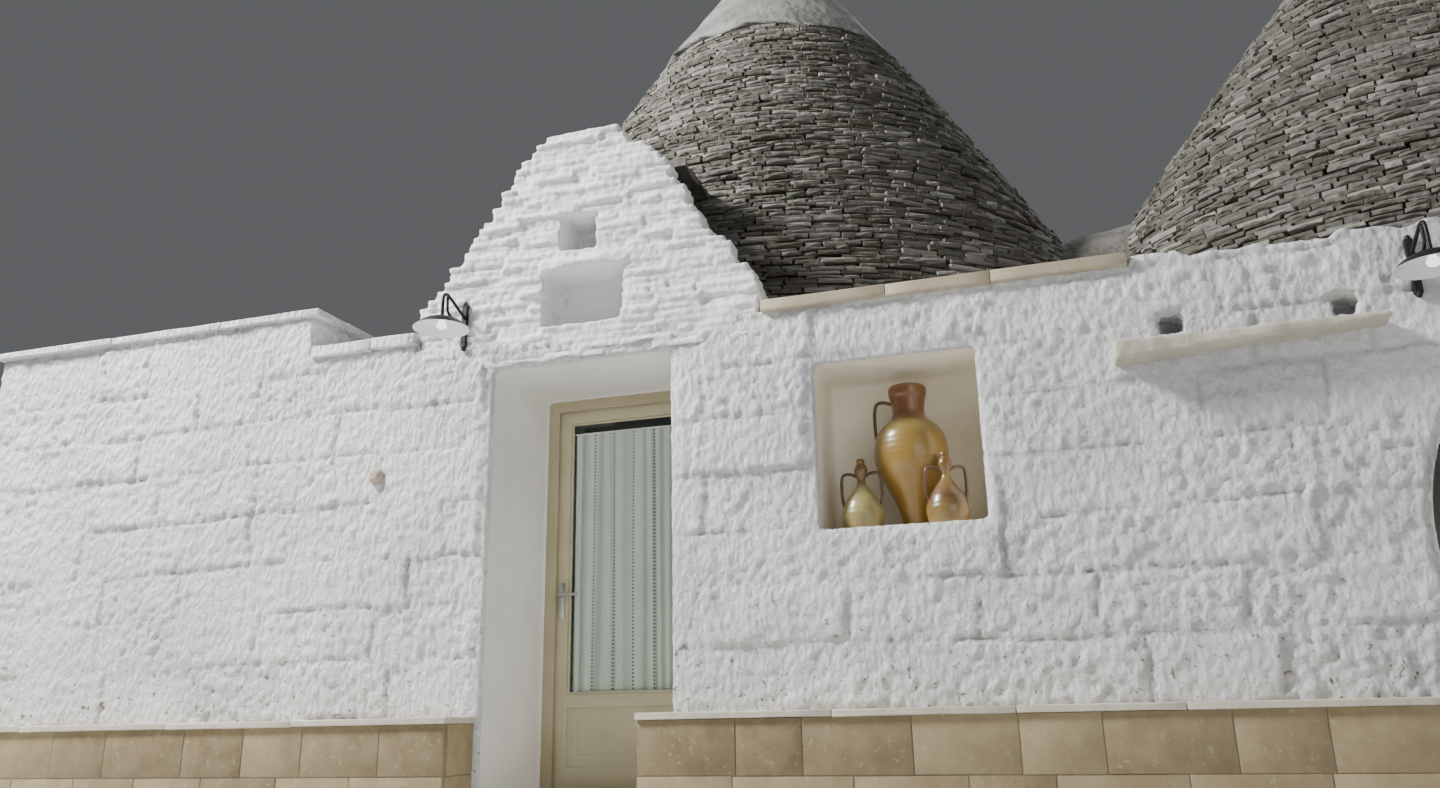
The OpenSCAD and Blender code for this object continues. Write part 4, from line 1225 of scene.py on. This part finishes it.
dot = times(tree, rows_of(across, 0.064, 0.005, 0.007), rows_of(down, 0.010, 0.004, 0.006))
thread = node(tree, "TexChecker", {"Vector": weave_map, "Scale": 900.0}).outputs[1]
# painted shade: the cloth is darkened in the valleys of its folds
shaded = blend_colour(tree, own_mark(tree, "painted_fold_shade"), (0.80, 0.89, 0.79), (0.44, 0.55, 0.45))
tree.links.new(blend_colour(tree, dot, shaded, (0.20, 0.27, 0.21)), look["Base Color"])
tree.links.new(spread_node(tree, dot, 0.0, 1.0, 0.93, 0.80), look["Alpha"])
bump_on(tree, look, thread, 0.3, 0.0003)

# %% Folds
cloth_low, cloth_high = grid_box("curtain")
let_go()
bpy.ops.mesh.primitive_grid_add(x_subdivisions=300, y_subdivisions=48, size=1, calc_uvs=True)
curtain = bpy.context.object
curtain.name = "gathered_curtain"
mesh = curtain.data
flat = spots_of(curtain)
share, drop = flat[:, 0] + 0.5, flat[:, 1] + 0.5
width, height = cloth_high.x - cloth_low.x, cloth_high.z - cloth_low.z
folds = 9.5
swell = 0.55 + 0.45 * np.sin(np.clip((1 - drop) * 3.0, 0, 1) * math.pi / 2)
wander = 2.3 * np.sin(2.1 * math.pi * share + 0.7) + 1.3 * np.sin(5.3 * math.pi * share + 1.1 * drop)
angle = 2 * math.pi * folds * share + wander + 0.5 * (1 - drop) * np.sin(9 * share)
wave = (np.sin(angle) + 0.22 * np.sin(2.7 * angle + 0.6)) * (0.72 + 0.28 * np.sin(7 * share + 2))
sideways = cloth_low.x + 0.004 + (width - 0.008) * share - 0.003 * swell * np.sin(2 * angle)
outward = (cloth_low.y + cloth_high.y) / 2 + 0.0050 * swell * wave
placed = np.column_stack((sideways, outward, cloth_low.z + height * drop))
move_to(curtain, placed)
first_row = placed[np.abs(drop - 0.5) < 0.01]
first_row = first_row[np.argsort(first_row[:, 0])]
cloth_w = float(np.linalg.norm(np.diff(first_row[:, :2], axis=0), axis=1).sum())
uv = values(mesh.uv_layers[0].data, "uv", 2)
mesh.uv_layers[0].data.foreach_set("uv", (uv * (cloth_w, height)).ravel())
# painted shade: the fold valleys, lying farthest back, are marked for darkening
mark(curtain, "painted_fold_shade", np.clip(0.5 + 0.5 * wave, 0, 1) ** 2)
settle(coat_with(curtain, voile, smooth=True), "curtain_cloth", "curtain", body="door_leaf")


# %% Rods of iron or steel
def rod(name, points, radius, coat, smooth=True):
    curve = bpy.data.curves.new(name, "CURVE")
    curve.dimensions = "3D"
    curve.bevel_depth, curve.bevel_resolution, curve.use_fill_caps = radius, 3, True
    spline = curve.splines.new("NURBS" if smooth else "POLY")
    spline.points.add(len(points) - 1)
    for point, spot in zip(spline.points, points):
        point.co = (*spot, 1)
    if smooth:
        spline.order_u, spline.use_endpoint_u, spline.resolution_u = 3, True, 5
    piece = bpy.data.objects.new(name, curve)
    bpy.context.collection.objects.link(piece)
    take(piece)
    bpy.ops.object.convert(target="MESH")
    return coat_with(bpy.context.object, coat, smooth=True)


rod_low, rod_high = grid_box("curtain_rod")
rod_at = (rod_low + rod_high) / 2
rod_ends = [(x, rod_at.y, rod_at.z) for x in (rod_low.x, rod_high.x)]
curtain_rod = rod("cloth_rod", rod_ends, 0.005, enamel, smooth=False)
settle(curtain_rod, "white_enamel", "curtain_rod", body="door_leaf")

# %% [markdown]
# ## Jars in the niche
# Pots are thrown on a wheel, so each is an outline turned round an axis. Honey glaze runs
# thin on the shoulder and pools dark towards the foot, and the neck is dipped in a
# redder one. The handles are rolled strips, luted to neck and shoulder.

# %% Glazes
def glaze(name, foot_z, height, bands, streak):
    material, tree, look = new_material(name, Roughness=0.34, Coat_Weight=0.45, Coat_Roughness=0.18)
    place = own_place(tree)
    up = node(tree, "SeparateXYZ", {0: place}).outputs["Z"]
    share = spread_node(tree, up, foot_z, foot_z + height)
    long = node(tree, "Mapping", {"Vector": place, "Scale": (9.0, 9.0, 1.6)}).outputs[0]
    runs = blotch_mask(tree, long, 2.6, 0.3, 0.75)
    wobble = math_node(tree, "ADD", share, times(tree, runs, 0.05))
    dipped = ramp_node(tree, wobble, bands)
    colour = blend_colour(tree, times(tree, runs, 0.55), dipped, streak)
    tree.links.new(colour, look["Base Color"])
    rings = node(tree, "TexWave", {"Vector": place, "Scale": 11.0, "Distortion": 1.2, "Detail": 1.0},
                 bands_direction="Z")
    bump_on(tree, look, rings.outputs[1], 0.5, 0.0012)
    return material


honey, olive, umber = (0.33, 0.185, 0.036), (0.23, 0.165, 0.045), (0.16, 0.075, 0.02)
red_clay, pale = (0.17, 0.052, 0.020), (0.38, 0.335, 0.14)
rust, brown = (0.105, 0.050, 0.022), (0.235, 0.160, 0.050)
jar_low, jug_low = grid_box("tall_jar")[0], grid_box("small_jugs")[0]
jar_h, jug_h = 0.730, 0.352
jar_bands = [(0.0, umber), (0.16, honey), (0.5, honey), (0.76, olive), (0.80, red_clay), (1.0, red_clay)]
pale_bands = [(0.0, olive), (0.3, pale), (0.62, pale), (0.72, umber), (1.0, umber)]
rust_bands = [(0.0, brown), (0.22, brown), (0.4, rust), (0.7, brown), (0.9, umber)]
jar_glaze = glaze("honey_glaze", jar_low.z, jar_h, jar_bands, olive)
pale_glaze = glaze("pale_glaze", jug_low.z, jug_h, pale_bands, olive)
rust_glaze = glaze("rust_glaze", jug_low.z, jug_h, rust_bands, umber)
dark_glaze = finish("dark_glaze", [(0.055, 0.030, 0.018), (0.13, 0.07, 0.035)], 0.3, blotch=16.0,
                    marks=60.0, depth=0.0008, Coat_Weight=0.4)

# %% Turned pots
jar_r, jug_r = 0.179, 0.100
jar_shape = [(0.31, 0), (0.34, 0.07), (0.5, 0.2), (0.72, 0.31), (0.92, 0.41), (1, 0.5), (0.99, 0.58),
             (0.93, 0.65), (0.77, 0.71), (0.57, 0.755), (0.46, 0.79), (0.44, 0.83), (0.47, 0.9),
             (0.52, 0.94), (0.525, 0.98), (0.48, 1)]
jug_shape = [(0.8, 0), (0.91, 0.06), (1, 0.2), (0.97, 0.28), (0.9, 0.35), (0.77, 0.43), (0.41, 0.575),
             (0.25, 0.64), (0.19, 0.7), (0.22, 0.75), (0.31, 0.82), (0.31, 0.86), (0.24, 0.915),
             (0.17, 0.94), (0.2, 0.965), (0.18, 1)]


def pot(name, shape, r, h, at, coat, mouth=None):
    foot_r = shape[0][0] * r
    outline = [(0.0001, at.z + 0.004), (foot_r * 0.8, at.z + 0.004), (foot_r * 0.9, at.z)]
    outline += [(share_r * r, at.z + share_z * h) for share_r, share_z in flowing(shape, 4)]
    if mouth:
        outline += flowing([(shape[-1][0] * r - 0.008, at.z + h - 0.002), (mouth, at.z + h - 0.03),
                            (mouth * 0.9, at.z + h - 0.14), (0.0001, at.z + h - 0.15)], 3)
    else:
        outline += [(0.0001, at.z + h)]
    return coat_with(turned(name, outline, (at.x, at.y), 48), coat, smooth=True)


def handle(at, side, reach, neck_r, top, low, shoulder_r, r, turn_by=0.0):
    drop = top - low
    points = [(neck_r * 0.6, top - 0.10 * drop), (neck_r * 1.05, top - 0.03 * drop),
              (0.6 * neck_r + 0.4 * reach, top + 0.03 * drop), (reach * 0.93, top + 0.02 * drop),
              (reach * 1.01, top - 0.16 * drop), (reach * 1.02, top - 0.5 * drop),
              (reach * 1.0, low + 0.14 * drop), (shoulder_r * 0.96, low - 0.02 * drop)]
    over, behind = side * math.cos(turn_by), side * math.sin(turn_by)
    line = [(at.x + over * out, at.y + behind * out, at.z + up) for out, up in points]
    return rod("handle", line, r, dark_glaze)


def stand_at(share_x, y, z):
    return Vector((niche_low.x + share_x * (niche_high.x - niche_low.x), y, z))


jar_at = stand_at(0.539, 0.250, jar_low.z)
tall_jar = pot("jar", jar_shape, jar_r, jar_h, jar_at, jar_glaze, mouth=0.058)
jar_handle = handle(jar_at, -1, 0.166, 0.082, 0.657, 0.441, 0.166, 0.0085)
settle(unite("tall_honey_jar", tall_jar, jar_handle), "honey_glaze", "tall_jar")
jugs = []
for share_x, coat, turn_by in ((0.244, pale_glaze, 0.0), (0.753, rust_glaze, math.radians(20))):
    at = stand_at(share_x, 0.118, jug_low.z)
    jugs.append(pot("jug", jug_shape, jug_r, jug_h, at, coat))
    for side in (-1, 1):
        jugs.append(handle(at, side, 0.095, 0.029, 0.280, 0.127, 0.089, 0.0075, turn_by))
settle(unite("small_glazed_jugs", *jugs), "honey_glaze", "small_jugs")

# %% [markdown]
# ## Wall lamps
# Each lamp is a saucer of enamelled iron under a bent arm, with a round bulb in its
# middle. The arm is bent from one rod, with a brace under it.

# %% Lamps
bulb_light, tree, look = new_material("frosted_bulb", Roughness=0.45, Emission_Strength=1.6)
frost = blotch_mask(tree, own_place(tree), 40.0, 0.3, 0.8)
tree.links.new(blend_colour(tree, frost, (0.86, 0.88, 0.90), (0.95, 0.96, 0.97)), look["Base Color"])
tree.links.new(blend_colour(tree, frost, (0.85, 0.92, 1.0), (1.0, 1.0, 1.0)), look["Emission Color"])

irons, shades, bulbs = [], [], []
plate_h, arm = 0.25, -0.268
arm_bends = [(0.11, 0.082), (0.38, 0.055), (0.69, 0.020), (0.86, 0.006), (0.985, 0.024), (1, 0.070),
             (1, 0.153)]
brace_bends = [(0.11, 0.122), (0.44, 0.122), (0.70, 0.120), (0.82, 0.100), (0.82, 0.060), (0.84, 0.022)]
knob_shape = [(0.0001, 0.018), (0.010, 0.014), (0.013, 0), (0.010, -0.014), (0.0001, -0.018)]
shade_shape = [(0.0001, 0.010), (0.022, 0.008), (0.032, -0.002), (0.066, -0.008), (0.105, -0.026),
               (0.133, -0.047), (0.145, -0.060)]
bulb_shape = [(0.0001, -0.004), (0.014, -0.005), (0.014, -0.022), (0.020, -0.028), (0.026, -0.042),
              (0.021, -0.058), (0.0001, -0.066)]


def at_height(z, shape, steps):
    return flowing([(r, z + up) for r, up in shape], steps)


for x, top in ((-0.170, 2.68), (4.36, 2.37)):
    plate = block("plate", (x - 0.017, -0.050, top - plate_h), (x + 0.017, -0.010, top))
    irons.append(coat_with(apply(plate, "BEVEL", width=0.004, segments=2), iron))
    for z in (top, top - plate_h):
        irons.append(coat_with(turned("finial", at_height(z, knob_shape, 3), (x, -0.040), 14), iron))
    for name, r, bends in (("arm", 0.0085, arm_bends), ("brace", 0.0075, brace_bends)):
        irons.append(rod(name, [(x, arm * out, top - down) for out, down in bends], r, iron))
    crown = top - 0.155
    upper = at_height(crown, shade_shape, 4)
    under = [(r - 0.001, z - 0.004) for r, z in reversed(upper[1:])] + [(0.0001, crown + 0.004)]
    shade = turned("shade", upper + [(0.1465, crown - 0.0625)] + under, (x, arm), 56)
    shades.append(coat_with(shade, enamel, iron, smooth=True))
    second_finish(shade, lambda c, n: n[:, 2] > 0.05)
    bulb = turned("bulb", at_height(crown, bulb_shape, 4), (x, arm), 28)
    bulbs.append(coat_with(bulb, bulb_light, smooth=True))
settle(unite("iron_brackets", *irons), "black_iron", "lamp_brackets")
settle(unite("enamel_shades", *shades), "white_enamel", "lamp_shades")
settle(unite("round_bulbs", *bulbs), "bulb_glass", "lamp_bulbs")

# %% [markdown]
# ## Finishes of the measured pieces
# The rooms' inner faces, floors and small parts keep their measured shape. Each takes
# the finish that the record names for it.

# %% Give every measured piece its finish
by_slot = {"whitewash": plaster, "plaster_white": shade_grey_cap, "roof_stone": roof_grey,
           "beige_stone": beige, "tile_stone": grout, "floor_stone": grout, "cream_paint": cream,
           "steel": steel, "window_glass": glass}
for part in frame["record"]["subparts"]:
    coat = by_slot.get(part["material_slot"])
    mesh = frame["nodes"][part["node"]].data
    if coat:
        mesh.materials.clear()
        mesh.materials.append(coat)
